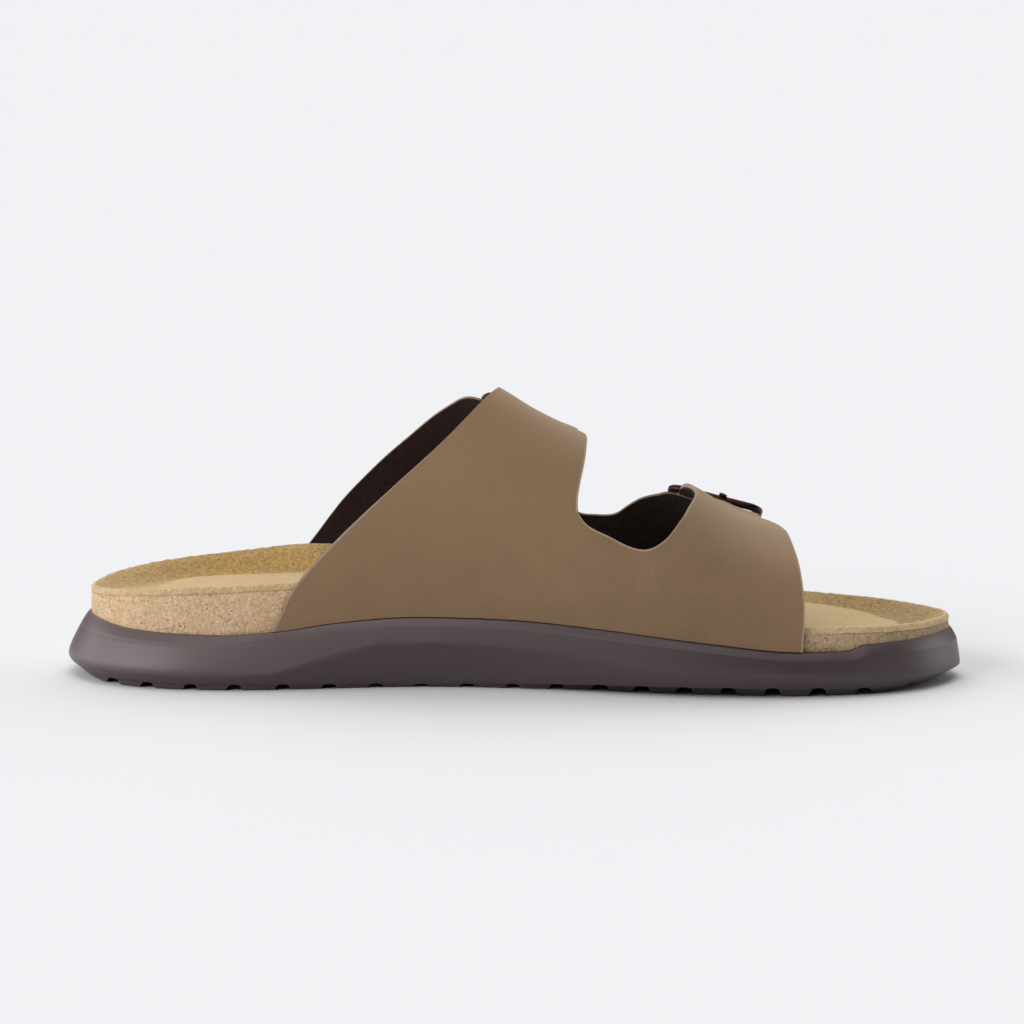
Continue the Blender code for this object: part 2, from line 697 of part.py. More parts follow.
def cross_rod(last, strap, start, end, radius, steps):
    """Points and faces of a rod along a strap's pivot."""
    size = STRAPS[strap]
    points = []
    for u in (start, end):
        for k in range(steps):
            turn = 2 * np.pi * k / steps
            w = radius * np.cos(turn)
            n = PIVOT_HEIGHT + radius * np.sin(turn)
            points.append(place(last, strap, u - size["slant"] * w, size["pivot"] + w, n))
    faces = [tuple(range(steps)), tuple(range(2 * steps - 1, steps - 1, -1))]
    for i in range(steps):
        j = (i + 1) % steps
        faces.append((j, i, steps + i, steps + j))
    return points, faces


def buckle_loops(last):
    """Loops on the tabs that hold the pivot bars, split in the middle for the prong."""
    points = []
    faces = []
    for strap in STRAPS:
        for start, end in ((-LOOP_HALF_WIDTH, -PRONG_SLOT_HALF), (PRONG_SLOT_HALF, LOOP_HALF_WIDTH)):
            rod, sides = cross_rod(last, strap, start, end, LOOP_OUTER_RADIUS, 12)
            faces += [tuple(corner + len(points) for corner in side) for side in sides]
            points += rod
    return outward(mesh_object("buckle_loops", points, faces))


def pivot_bore(last, strap):
    half = LOOP_HALF_WIDTH + 2
    points, faces = cross_rod(last, strap, -half, half, LOOP_BORE_RADIUS, 14)
    return outward(mesh_object("pivot_bore_" + strap, points, faces))


def outward(made):
    """Faces turned to face out of a closed body."""
    shape = bmesh.new()
    shape.from_mesh(made.data)
    bmesh.ops.recalc_face_normals(shape, faces=shape.faces)
    shape.to_mesh(made.data)
    shape.free()
    return made


def prong_profile(size, clearance):
    """Outline of a prong in its own plane: eye round the pivot bar, then the shank to the tip."""
    pivot = np.array([size["pivot"], PIVOT_HEIGHT])
    radius = LOOP_BORE_RADIUS + 0.75 + clearance
    turn = np.linspace(math.radians(-150), math.radians(105), 12)
    eye = pivot + radius * np.column_stack([np.cos(turn), np.sin(turn)])
    rest = UPPER_BAR_HEIGHT + FRAME_THICKNESS / 2 + GAP + PRONG_THICKNESS / 2
    middle = np.array(
        [
            (size["pivot"] - 5.5, 5.15),
            (size["pivot"] - 10.0, 6.1),
            (size["bar"] + 2.0, rest + 0.1),
            (size["bar"] - 1.5, rest + 0.1),
            (size["bar"] - 3.4, rest - 0.35),
        ]
    )
    thick = np.array([0.5, 0.5, 0.5, 0.5, 0.3]) * PRONG_THICKNESS + clearance
    over = middle + np.column_stack([0 * thick, thick])
    under = middle - np.column_stack([0 * thick, thick])
    tip = middle[-1] - np.array([0.5 + clearance, 0.1])
    return np.vstack([eye, over, tip[None], under[::-1]])


def prong_blank(last, strap, clearance, finish=None):
    """Prong without its bore, or its clearance when the clearance is above zero."""
    profile = prong_profile(STRAPS[strap], clearance)
    name = "buckle_prong_" + strap + ("_clearance" if finish is None else "")
    count = len(profile)
    half = PRONG_HALF_WIDTH + clearance
    points = []
    for u in (-half, half):
        points += [place(last, strap, u, w, n) for w, n in profile]
    faces = [tuple(range(count)), tuple(range(2 * count - 1, count - 1, -1))]
    for i in range(count):
        j = (i + 1) % count
        faces.append((j, i, count + i, count + j))
    return outward(mesh_object(name, points, faces, finish))


def build_prong(last, strap, bore, finish):
    prong = prong_blank(last, strap, 0.0, finish)
    boolean(prong, "DIFFERENCE", bore)
    return prong


def build_frame(last, strap, finish):
    """Buckle frame: a flat bar round three sides and a round pivot bar on the fourth."""
    size = STRAPS[strap]
    half = FRAME_HALF_WIDTH
    length = size["pivot"] - size["bar"]
    corner = FRAME_CORNER
    path = []
    for u, w, first in (
        (half, 0.0, -90),
        (half, length, 0),
        (-half, length, 90),
        (-half, 0.0, 180),
    ):
        centre_u = u - math.copysign(corner, u)
        centre_w = w + (corner if w == 0 else -corner)
        for k in range(4):
            turn = math.radians(first + 30 * k)
            way = np.array([math.cos(turn), math.sin(turn)])
            path.append((centre_u + corner * way[0], centre_w + corner * way[1], way))
        if w == 0 and u > 0:
            path.append((half, length / 2, np.array([1.0, 0.0])))
        if w > 0 and u < 0:
            path.append((-half, length / 2, np.array([-1.0, 0.0])))
        if w > 0 and u > 0:
            for share in (0.25, 0.5, 0.75):
                path.append((half - corner - share * 2 * (half - corner), length, np.array([0.0, 1.0])))
    for share in (0.25, 0.5, 0.75):
        path.append((-half + corner + share * 2 * (half - corner), 0.0, np.array([0.0, -1.0])))
    section = ((1, 0.4), (0.7, 1), (-0.7, 1), (-1, 0.4), (-1, -0.4), (-0.7, -1), (0.7, -1), (1, -0.4))
    points = []
    for u, w, way in path:
        share = w / length
        rounded = np.clip((share - 0.8) / 0.2, 0, 1)
        wide = (1 - rounded) * FRAME_BAR / 2 + rounded * PIVOT_RADIUS
        thick = (1 - rounded) * FRAME_THICKNESS / 2 + rounded * PIVOT_RADIUS
        centre = (1 - share) * UPPER_BAR_HEIGHT + share * PIVOT_HEIGHT
        for out, up in section:
            along = out * wide
            lift = up * thick
            if rounded > 0.99:
                turn = math.atan2(up, out)
                along = PIVOT_RADIUS * math.cos(turn)
                lift = PIVOT_RADIUS * math.sin(turn)
            at_w = size["bar"] + w + way[1] * along
            shift = size["slant"] * (size["bar"] + w - at_w)
            points.append(place(last, strap, u + way[0] * along + shift, at_w, centre + lift))
    steps = len(section)
    count = len(path)
    faces = []
    for k in range(count):
        following = (k + 1) % count
        for i in range(steps):
            j = (i + 1) % steps
            faces.append((k * steps + i, k * steps + j, following * steps + j, following * steps + i))
    return outward(mesh_object("buckle_frame_" + strap, points, faces, finish))


def main():
    for old in list(bpy.data.objects):
        bpy.data.objects.remove(old)
    foam = material("sole_foam", (0.075, 0.058, 0.058), 0.7)
    cork = material("cork", (0.5, 0.36, 0.24), 0.85)
    suede = material("suede", (0.42, 0.27, 0.13), 0.95)
    nubuck = material("strap_nubuck", (0.21, 0.135, 0.085), 0.85)
    bronze = material("buckle_bronze", (0.09, 0.06, 0.045), 0.35, 1.0)
    last = Last()
    build_outsole(foam)
    build_cork(cork)
    build_insole(suede)
    bores = {strap: pivot_bore(last, strap) for strap in STRAPS}
    build_upper(last, bores, nubuck)
    for strap in STRAPS:
        build_frame(last, strap, bronze)
        build_prong(last, strap, bores[strap], bronze)


main()
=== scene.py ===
"""Fine shape and finish of a double-buckle sandal for the left foot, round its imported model.

Tables and shape functions are in millimetres, meshes and settings in metres. +X runs to the
toe, +Y to the lateral (outer) side and +Z up. Stations run along the sole from the back of the
heel. On the upper, x runs along the foot and w round it from the crown, below zero on the
medial side.
"""

import json
import math

import bpy
import numpy as np
from bpy.props import FloatProperty, FloatVectorProperty, PointerProperty
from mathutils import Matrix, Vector

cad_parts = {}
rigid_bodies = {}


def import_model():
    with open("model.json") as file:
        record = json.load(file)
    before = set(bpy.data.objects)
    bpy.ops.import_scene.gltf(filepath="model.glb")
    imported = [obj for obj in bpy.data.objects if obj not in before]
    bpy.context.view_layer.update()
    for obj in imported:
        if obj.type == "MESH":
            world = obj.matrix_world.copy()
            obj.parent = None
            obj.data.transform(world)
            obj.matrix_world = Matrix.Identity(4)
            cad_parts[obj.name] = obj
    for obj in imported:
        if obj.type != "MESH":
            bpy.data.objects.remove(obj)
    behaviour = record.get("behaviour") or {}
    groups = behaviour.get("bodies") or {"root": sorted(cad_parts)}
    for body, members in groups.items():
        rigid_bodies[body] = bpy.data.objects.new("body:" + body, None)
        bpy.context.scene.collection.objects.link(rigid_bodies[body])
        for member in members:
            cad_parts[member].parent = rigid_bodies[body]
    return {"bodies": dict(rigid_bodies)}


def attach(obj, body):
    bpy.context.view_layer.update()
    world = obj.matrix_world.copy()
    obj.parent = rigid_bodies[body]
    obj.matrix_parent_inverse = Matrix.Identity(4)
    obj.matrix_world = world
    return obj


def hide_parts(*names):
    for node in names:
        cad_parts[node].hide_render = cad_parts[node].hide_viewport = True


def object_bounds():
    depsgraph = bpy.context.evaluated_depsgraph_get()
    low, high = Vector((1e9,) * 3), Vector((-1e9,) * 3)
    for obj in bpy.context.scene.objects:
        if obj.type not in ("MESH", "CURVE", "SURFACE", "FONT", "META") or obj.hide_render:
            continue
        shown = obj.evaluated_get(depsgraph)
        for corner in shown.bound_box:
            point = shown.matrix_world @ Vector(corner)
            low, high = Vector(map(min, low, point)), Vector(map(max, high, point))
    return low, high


bl_info = {
    "name": "Double-buckle sandal",
    "version": (1, 0, 0),
    "blender": (4, 5, 0),
    "location": "3D View > Sidebar > Sandal",
    "description": "Fine pieces, finishes and stage for a double-buckle sandal",
    "category": "Mesh",
}

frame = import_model()
CAD_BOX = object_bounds()
BODY = next(iter(frame["bodies"]))

MM = 0.001
SOLE_LENGTH = (CAD_BOX[1].x - CAD_BOX[0].x) / MM
HALF_LENGTH = SOLE_LENGTH / 2
HEEL_END_Y = 0.5
TOE_END_Y = -10.0
GAP = 0.3

# Fineness of the meshes
SOLE_COLUMNS = 360
FOOTBED_COLUMNS = 360
SOCK_COLUMNS = 1200
QUARTER_COLUMNS = {"rear": 56, "notch": 40, "front": 44}
# Rows of a quarter's base, rear strap and front strap
QUARTER_ROWS = {"medial": (30, 130, 104), "lateral": (30, 62, 52)}

# Shares at which smooth edges are drawn before they are divided, and points of other curves
FINE = np.linspace(0, 1, 2001)
OUTLINE_POINTS = 6000
CURVE_POINTS = 400

# Vertices nearer than this are one; the two cells next to a strap's edge count as at least this wide
MERGE_DISTANCE = 0.01
THINNEST_CELL = 0.1

# Grooves between the lugs: stations at the sides, width at root and mouth, sweep to the middle, half their
# length, rounding of their edges, least height of the skirt above the tread, root above the skirt and foot
LUG_GROOVES = (
    13.3, 25.4, 39.7, 53.8, 69.1, 83.7, 98.4, 113.0, 127.7, 142.3,
    156.5, 170.4, 183.8, 197.4, 211.4, 225.5, 239.9, 254.4, 269.7,
)
LUG_GAP_ROOT = 2.6
LUG_GAP_MOUTH = 7.4
LUG_SWEEP = 5.0
LUG_REACH = 70.0
LUG_ROUNDING = 0.7
LUG_LEAST_HEIGHT = 0.9
LUG_GROOVE_TOP = 0.25
LUG_GROOVE_FOOT = -1.0

# Rounded foot of the lugs: in from their faces, up from the tread
LUG_FOOT = ((0.6, 0.0), (0.22, 0.18), (0.06, 0.5))

# Rounded lower edge of the sole's side: in from the skirt, up from it
SKIRT_EDGE = ((0.55, 0.0), (0.2, 0.12))
SKIRT_LIP = 0.45

# Bend of the side below the widest line, where it is round and where it breaks away in a crease
ROUND_BEND = 1.9
CREASE_BEND = 0.8

# Line round the heel's shoulder: depth, station where it starts to fade and length of the fade
SHOULDER_LINE = (0.09, 50.0, 35.0)

# Rounding of the sole's widest line, as a share of the height of the side above it
BELLY_ROUND = 0.3

# Rings of the sole as shares of a way: from the lugs in to the middle line, from the widest line down to
# the skirt and up to the shoulder, and from there in to the shelf round the footbed, with that way's bend
TREAD_SHARES = (1.0, 0.6, 0.25, 0.06)
FLANK_SHARES = np.linspace(1, 0.04, 14)
SHOULDER_SHARES = np.linspace(0, 0.98, 14) ** 1.6
SHELF_SHARES = np.array((0.06, 0.2, 0.4, 0.6, 0.78, 0.92, 1.0))
SHELF_BEND = 1.3

# Middle line of the footbed
SPINE_START = 40.0
SPINE_END = 250.0

# Fullness of the straps' cross-section on each side
MEDIAL_FULLNESS = 2.25
LATERAL_FULLNESS = 1.85

# Buckles
FRAME_HALF_WIDTH = 13.6
FRAME_BAR = 3.2
FRAME_THICKNESS = 2.3
FRAME_CORNER = 3.5
PIVOT_RADIUS = 0.9
PIVOT_HEIGHT = 3.4
LOOP_OUTER_RADIUS = 2.0
LOOP_BORE_RADIUS = 1.2
LOOP_HALF_WIDTH = 10.0
PRONG_SLOT_HALF = 2.4
PRONG_THICKNESS = 1.3

# Tongues on their tabs: place along the foot between the straps, sinking into the tab, climb onto it,
# thinning of the tab below a place round the foot, hump over the buckle's loop, narrowing of the tip
STRAP_BORDER = 40.0
LAP_OVERLAP = 0.7
LAP_SPARE = 0.1
LAP_CLIMB = 6.0
LAP_FOOT = 84.0
LAP_FADE = 8.0
LOOP_HUMP = 7.6
TIP_TAPER = 0.2


def cubic(share, step, ends, slopes):
    """Cubic over a step, between two values with their slopes."""
    rest = 1 - share
    near = (1 + 2 * share) * rest**2 * ends[0] + share * rest**2 * step * slopes[0]
    far = share * share * (3 - 2 * share) * ends[1] - share * share * rest * step * slopes[1]
    return near + far


class Table:
    """Named columns against a first column, read by a monotone cubic."""

    def __init__(self, columns, rows):
        data = np.array(rows, float)
        self.key = data[:, 0]
        self.values = {name: data[:, i] for i, name in enumerate(columns)}

    def at(self, name, where):
        key = self.key
        value = self.values[name]
        step = np.diff(key)
        slope = np.diff(value) / step
        same = slope[:-1] * slope[1:] > 0
        mean = 2 * slope[:-1] * slope[1:] / np.where(same, slope[:-1] + slope[1:], 1)
        slopes = np.concatenate([[slope[0]], np.where(same, mean, 0), [slope[-1]]])
        where = np.clip(np.asarray(where, float), key[0], key[-1])
        i = np.clip(np.searchsorted(key, where, "right") - 1, 0, len(step) - 1)
        share = (where - key[i]) / step[i]
        return cubic(share, step[i], (value[i], value[i + 1]), (slopes[i], slopes[i + 1]))


# Widest line of the sole, seen from above
SOLE_PLAN = (
    # station, medial, lateral
    (8, -20.5, 21.0),
    (25, -33.0, 33.5),
    (50, -38.0, 38.5),
    (85, -37.0, 41.0),
    (120, -35.0, 45.5),
    (155, -39.5, 50.5),
    (190, -48.5, 53.5),
    (215, -51.5, 52.5),
    (240, -50.0, 47.5),
    (262, -44.5, 37.0),
    (277, -34.5, 22.5),
    (286, -22.0, 5.5),
)

# Underside of the tread: heel flat, forefoot flat, toe spring
TREAD = Table(
    ("station", "height"),
    ((0, 1.2), (14, 0.0), (84, 0.0), (162, 0.0), (246, 0.0), (270, 0.6), (290, 2.2)),
)

# Heights on each side: shelf round the footbed, well under the footbed
SOLE_HEIGHTS = Table(
    ("station", "seat_medial", "seat_lateral", "well_medial", "well_lateral"),
    (
        (0, 20.2, 20.2, 17.6, 17.6),
        (20, 18.0, 18.2, 16.6, 16.8),
        (50, 17.2, 17.6, 15.8, 16.2),
        (68, 18.3, 18.0, 16.8, 16.6),
        (90, 21.3, 18.8, 19.6, 17.4),
        (113, 22.8, 19.5, 21.2, 18.2),
        (142, 22.4, 19.4, 20.8, 18.2),
        (172, 20.6, 18.3, 18.4, 16.6),
        (205, 17.3, 16.5, 14.4, 13.8),
        (239, 14.2, 14.4, 11.2, 11.2),
        (252, 14.5, 14.6, 11.0, 11.0),
        (258, 16.2, 16.2, 11.0, 11.0),
        (290, 16.4, 16.4, 12.4, 12.4),
    ),
)

# Height of the widest line, which climbs over the arch scoop
BELLY = Table(
    ("station", "height_medial", "height_lateral"),
    (
        (0, 6.3, 6.3), (20, 5.6, 5.6), (37, 5.3, 5.4), (50, 5.5, 5.6), (66, 6.0, 6.0),
        (74, 7.9, 6.5), (82, 10.4, 7.2), (92, 13.5, 8.0), (102, 15.0, 8.6), (113, 15.5, 9.0),
        (123, 15.3, 9.0), (142, 14.3, 9.0), (172, 11.8, 8.6), (205, 9.0, 8.0), (239, 7.4, 7.4),
        (252, 6.6, 6.6), (290, 4.6, 4.6),
    ),
)

# Bottom edge of the sole's side, in from the widest line and up, and the faces of the lugs below it
SKIRT = Table(
    (
        "station", "in_medial", "in_lateral", "height_medial", "height_lateral",
        "lug_medial", "lug_lateral",
    ),
    (
        (0, 3.4, 3.4, 2.2, 2.2, 4.6, 4.6),
        (20, 2.2, 2.2, 1.8, 1.8, 3.0, 3.0),
        (50, 1.6, 1.6, 1.8, 1.8, 2.4, 2.4),
        (90, 3.5, 2.0, 1.4, 1.9, 4.4, 3.2),
        (113, 4.5, 2.2, 1.0, 2.0, 5.4, 3.6),
        (142, 4.0, 2.2, 1.5, 2.2, 5.2, 3.8),
        (172, 2.5, 2.0, 2.8, 2.8, 8.0, 4.4),
        (205, 1.8, 1.8, 3.3, 3.3, 8.0, 5.0),
        (239, 1.8, 1.8, 2.9, 2.9, 4.8, 4.8),
        (262, 2.0, 2.0, 2.2, 2.2, 4.6, 4.6),
        (290, 2.4, 2.4, 2.9, 2.9, 3.6, 3.6),
    ),
)

# Insets from the widest line: shoulder, footbed, and the shelf round the footbed
SOLE_INSETS = Table(
    ("station", "shoulder", "shoulder_drop", "footbed", "shelf"),
    (
        (0, 4.0, 4.4, 7.8, 0.6),
        (20, 3.6, 3.2, 7.2, 0.6),
        (50, 3.0, 2.6, 6.6, 0.8),
        (66, 2.6, 2.4, 6.2, 2.5),
        (90, 1.7, 2.4, 5.8, 2.5),
        (113, 1.3, 2.4, 5.6, 2.5),
        (142, 0.9, 2.4, 5.4, 2.5),
        (172, 0.6, 2.4, 5.2, 2.5),
        (205, 0.5, 2.4, 5.2, 2.5),
        (242, 0.6, 2.4, 5.0, 2.5),
        (258, 0.8, 3.0, 4.2, 0.7),
        (290, 1.2, 3.4, 4.0, 0.6),
    ),
)

# How hard the arch scoop breaks away below the widest line, from 0, round, to 1, a crease
SCOOP = Table(
    ("station", "crease_medial", "crease_lateral"),
    (
        (20, 0.0, 0.0), (50, 0.35, 0.0), (78, 1.0, 0.1), (140, 1.0, 0.2),
        (165, 0.6, 0.1), (195, 0.0, 0.0),
    ),
)

# Top of the footbed with its sock: rim heights, floor height and width of the sloping wall
FOOTBED = Table(
    ("station", "rim_medial", "rim_lateral", "floor", "wall_medial", "wall_lateral"),
    (
        (8, 28.8, 28.8, 25.6, 13, 13),
        (14, 29.8, 30.2, 25.8, 13, 13),
        (24, 30.9, 31.5, 26.2, 12, 12),
        (38, 32.0, 33.0, 26.6, 11, 11),
        (55, 33.0, 34.7, 27.0, 11, 11),
        (76, 34.4, 36.6, 27.6, 15, 12),
        (110, 39.5, 35.2, 29.4, 30, 16),
        (150, 34.5, 30.6, 27.4, 28, 18),
        (185, 27.6, 26.0, 22.4, 20, 16),
        (215, 23.6, 22.4, 18.4, 13, 12),
        (239, 22.0, 19.7, 16.6, 12, 12),
        (256, 21.9, 19.2, 16.0, 12, 12),
        (272, 21.4, 19.5, 16.2, 12, 12),
        (286, 20.8, 20.8, 17.0, 12, 12),
    ),
)

# Edge of the smooth pad on the sock, in from the rim
PAD = Table(
    ("station", "edge_medial", "edge_lateral"),
    (
        (8, 19.0, 19.0), (20, 13.5, 13.8), (40, 10.0, 11.5), (62, 9.5, 12.5), (76, 10.0, 14.5),
        (110, 13.0, 14.5), (150, 12.5, 12.0), (190, 11.0, 11.0), (230, 11.0, 11.0), (255, 11.5, 11.5),
        (272, 13.0, 13.0), (286, 15.8, 15.8),
    ),
)

# Inside of the upper along the foot: height and side shift of its crown
LAST = Table(
    ("x", "crown", "crown_y"),
    (
        (-90, 114.0, 0.0),
        (-60, 110.5, -0.5),
        (-40, 106.0, -1.0),
        (-20, 99.2, -2.0),
        (-4, 90.7, -3.0),
        (6, 84.6, -4.0),
        (22, 76.7, -5.0),
        (40, 68.4, -7.0),
        (58, 59.4, -8.0),
        (72, 51.4, -8.0),
        (84, 47.3, -7.0),
        (100, 42.0, -7.0),
    ),
)

# Each strap at its buckle: middle, slant and tilt of the bars, height and pitch of the upper bar and how
# far it is straight, place of the prong from the middle, end of the tab from rear to front, places of the
# bars and the tip, spare holes
STRAPS = {
    "rear": {
        "middle": 6.0, "slant": -0.10, "tilt": 0.0, "bar_height": 4.7, "pitch": -0.18,
        "straight": 0.0, "prong": 0.0,
        "tab": ((-10.0, 22.4), (18.0, 14.5)),
        "bar": 27.0, "pivot": 45.0, "tip": 76.0, "holes": (33.5, 54.5, 61.5, 68.5),
    },
    "front": {
        "middle": 65.8, "slant": 0.0, "tilt": 0.30, "bar_height": 3.8, "pitch": 0.13,
        "straight": 1.0, "prong": 0.9,
        "tab": ((57.6, 31.8), (64.0, 26.6), (69.0, 18.0), (78.6, 18.0)),
        "bar": 27.6, "pivot": 45.6, "tip": 67.0, "holes": (34.0, 55.0, 61.0),
    },
}

# Edges of the quarters: points seen from the side, from the sole up, then points past them along the foot
# and round it from the crown. The tabs of the lateral quarter end where the straps' sizes say.
MEDIAL_EDGES = {
    "rear": (
        (
            (-77.0, 0), (-75.6, 20.9), (-72.9, 27.0), (-69.9, 32.4), (-62.0, 41.9),
            (-48.4, 55.4), (-35.2, 67.2), (-22.4, 78.4), (-11.2, 88.7),
        ),
        ((-5.6, 0.0), (-5.9, 14.0), (-6.4, 28.0), (-8.0, 46.0), (-9.2, 62.0)),
    ),
    "rear_notch": (
        ((20.8, 56.5), (20.6, 59.6), (21.1, 64.0), (22.3, 69.6), (23.0, 74.6)),
        ((22.7, 0.0), (19.9, 12.0), (16.2, 28.0), (13.6, 46.0), (11.8, 62.0)),
    ),
    "notch": (
        (
            (20.8, 56.5), (23.2, 53.5), (26.4, 51.4), (30.4, 49.7), (34.0, 48.0), (38.0, 46.4),
            (40.8, 45.8), (44.0, 46.2), (46.4, 47.3), (48.4, 48.7), (50.8, 51.2), (53.6, 54.5),
        ),
        (),
    ),
    "front_notch": (
        ((53.6, 54.5), (56.0, 57.4)),
        ((58.3, 0.0), (56.2, 14.0), (54.7, 26.0), (54.4, 44.0), (54.6, 56.0)),
    ),
    "front": (
        ((91.2, 0), (91.4, 18.0), (91.8, 25.0), (91.4, 32.4), (90.9, 36.2), (90.1, 40.4), (88.8, 44.0)),
        ((85.8, 0.0), (80.4, 14.0), (77.0, 28.0), (76.2, 44.0), (76.0, 56.0)),
    ),
}
LATERAL_EDGES = {
    "rear": (
        (
            (-78, 0), (-71.5, 31.5), (-65.6, 39.4), (-57.2, 50.5), (-49.6, 58.6),
            (-42.0, 66.0), (-33.8, 73.2), (-26.0, 80.0), (-19.6, 84.6),
        ),
        ((-14.2, 23.8), STRAPS["rear"]["tab"][0]),
    ),
    "rear_notch": (((17.5, 53.4),), ((18.8, 46.0), (19.0, 28.0), STRAPS["rear"]["tab"][1])),
    "notch": (
        (
            (17.5, 53.4), (18.6, 48.2), (22.0, 45.2), (27.6, 44.3), (32.4, 44.2),
            (34.8, 44.9), (37.2, 46.9), (39.6, 48.8), (42.0, 50.5),
        ),
        (),
    ),
    "front_notch": (
        ((42.0, 50.5),),
        ((45.2, 43.0), (48.4, 39.1), (50.4, 36.0), (53.4, 33.6), *STRAPS["front"]["tab"][:-1]),
    ),
    "front": (((84, 0), (84.2, 22.0), (83.6, 31.0)), ((82.0, 34.0), STRAPS["front"]["tab"][-1])),
}

# Points of the rear and front edges where the straps leave the quarter
ROOTS = {"medial": (5, 3), "lateral": (2, 2)}

# Soft creases of the upper: ends along and round the foot, width, and height, below zero a trough
CREASES = (
    ((-38.0, -40.0), (4.0, -16.0), 11.0, -0.35),
    ((-22.0, -58.0), (22.0, -40.0), 14.0, 0.30),
    ((36.0, -34.0), (40.0, -52.0), 9.0, -0.30),
    ((58.0, -30.0), (84.0, -22.0), 9.0, -0.25),
    ((60.0, -12.0), (86.0, -8.0), 7.0, 0.20),
    ((-60.0, 84.0), (-10.0, 66.0), 12.0, -0.30),
    ((30.0, 62.0), (70.0, 56.0), 10.0, 0.25),
)


def length_setting(name, description, default):
    return FloatProperty(name=name, description=description, default=default, min=0.0, unit="LENGTH")


def colour_setting(name, description, default):
    return FloatVectorProperty(
        name=name, description=description, default=default, size=3, min=0.0, max=1.0, subtype="COLOR"
    )


class SandalSizes(bpy.types.PropertyGroup):
    """Sizes of the layers and small features."""

    strap_face: length_setting("Strap face", "Thickness of the straps' face material", 0.0013)
    strap_lining: length_setting("Strap lining", "Thickness of the felt behind the face", 0.0007)
    edge_strip: length_setting("Edge strip", "Width of the buffed strip along the straps' edges", 0.00055)
    hole: length_setting("Strap hole", "Radius of the holes punched in the straps", 0.0012)
    sock: length_setting("Sock", "Thickness of the suede sock at its edge", 0.0016)
    pad_step: length_setting("Pad step", "Height of the pad's edge above the sock", 0.0010)
    nap: length_setting("Nap", "Unevenness of the suede", 0.00016)


class SandalColours(bpy.types.PropertyGroup):
    """Colours of the finishes."""

    nubuck: colour_setting("Nubuck", "Face of the straps", (0.272, 0.168, 0.092))
    cut_edge: colour_setting("Cut edge", "Raw edge of the straps' face", (0.40, 0.29, 0.21))
    felt: colour_setting("Felt", "Lining of the straps", (0.025, 0.0132, 0.0142))
    cork: colour_setting("Cork", "Middle tone of the cork", (0.58, 0.415, 0.255))
    cork_dark: colour_setting("Cork bark", "Dark grains of the cork", (0.13, 0.085, 0.06))
    cork_light: colour_setting("Cork pith", "Light grains of the cork", (0.78, 0.66, 0.50))
    suede: colour_setting("Suede", "Napped rim of the sock", (0.51, 0.328, 0.124))
    # Painted highlight: the sock's turned edge is paler than its suede for the light that the rounded edge
    # catches
    lip: colour_setting("Suede lip", "Turned edge of the sock", (0.68, 0.49, 0.27))
    pad: colour_setting("Pad", "Smooth pad on the sock", (0.61, 0.43, 0.20))
    foam: colour_setting("Foam", "Moulded sole", (0.063, 0.038, 0.040))
    # Painted highlight: this paler colour on the side of heel and toe stands for the light that the foam
    # catches there
    foam_painted_highlight: colour_setting("Foam flank", "Highlighted side of heel and toe", (0.112, 0.078, 0.082))
    bronze: colour_setting("Bronze", "Buckles", (0.046, 0.027, 0.024))


class StageSettings(bpy.types.PropertyGroup):
    """Camera, floor and light."""

    floor: colour_setting("Floor", "Pale studio floor", (0.86, 0.87, 0.89))
    dome: colour_setting("Dome", "Colour of the light", (1.0, 1.0, 1.0))
    camera_distance: length_setting("Camera distance", "From the camera to the origin", 1.4)
    camera_height: FloatProperty(
        name="Camera height", description="Elevation of the camera", default=math.radians(10.6),
        subtype="ANGLE",
    )
    camera_lens: FloatProperty(name="Lens", description="Focal length in millimetres", default=150.3)


def sizes():
    return bpy.context.scene.sandal_sizes


def colours():
    return bpy.context.scene.sandal_colours


# Curves and outlines


def spline(points, closed=False):
    """Cubic through the points by chord length, as a function of the share along it."""
    points = np.array(points, float)
    wrap = 0
    if closed:
        wrap = 6
        points = np.vstack([points[-wrap:], points, points[: wrap + 1]])
    knot = np.concatenate([[0], np.cumsum(np.linalg.norm(np.diff(points, axis=0), axis=1))])
    step = np.diff(knot)
    slope = np.diff(points, axis=0) / step[:, None]
    last = len(points) - 1
    matrix = np.zeros((last + 1, last + 1))
    right = np.zeros(points.shape)
    matrix[0, :2] = 2, 1
    matrix[last, -2:] = 1, 2
    right[0] = 3 * slope[0]
    right[last] = 3 * slope[-1]
    for i in range(1, last):
        matrix[i, i - 1 : i + 2] = step[i], 2 * (step[i - 1] + step[i]), step[i - 1]
        right[i] = 3 * (step[i] * slope[i - 1] + step[i - 1] * slope[i])
    slopes = np.linalg.solve(matrix, right)
    first_knot = knot[wrap]
    last_knot = knot[last - wrap]

    def curve(share):
        where = first_knot + np.clip(np.asarray(share, float), 0, 1) * (last_knot - first_knot)
        i = np.clip(np.searchsorted(knot, where, "right") - 1, 0, last - 1)
        part = ((where - knot[i]) / step[i])[..., None]
        return cubic(part, step[i][..., None], (points[i], points[i + 1]), (slopes[i], slopes[i + 1]))

    return curve


def run_along(path):
    return np.concatenate([[0], np.cumsum(np.linalg.norm(np.diff(path, axis=0), axis=1))])


def resampled(path, where):
    """The polyline's points at lengths along it."""
    run = run_along(path)
    return np.column_stack([np.interp(where, run, path[:, i]) for i in range(path.shape[1])])


def even(path, count):
    """The polyline in count equal lengths."""
    return resampled(path, np.linspace(0, run_along(path)[-1], count + 1))


def unit(vectors):
    return vectors / np.linalg.norm(vectors, axis=-1, keepdims=True)


def ways_out(path):
    """Ways out of a closed path, square to it."""
    tangent = unit(np.roll(path, -1, axis=0) - np.roll(path, 1, axis=0))
    return np.column_stack([tangent[:, 1], -tangent[:, 0]])


def circle(steps):
    return np.linspace(0, 2 * np.pi, steps, endpoint=False)


def squarish(turn, power):
    """Cosine and sine of a turn, drawn out to a rounded square."""
    return [np.sign(wave) * np.abs(wave) ** power for wave in (np.cos(turn), np.sin(turn))]


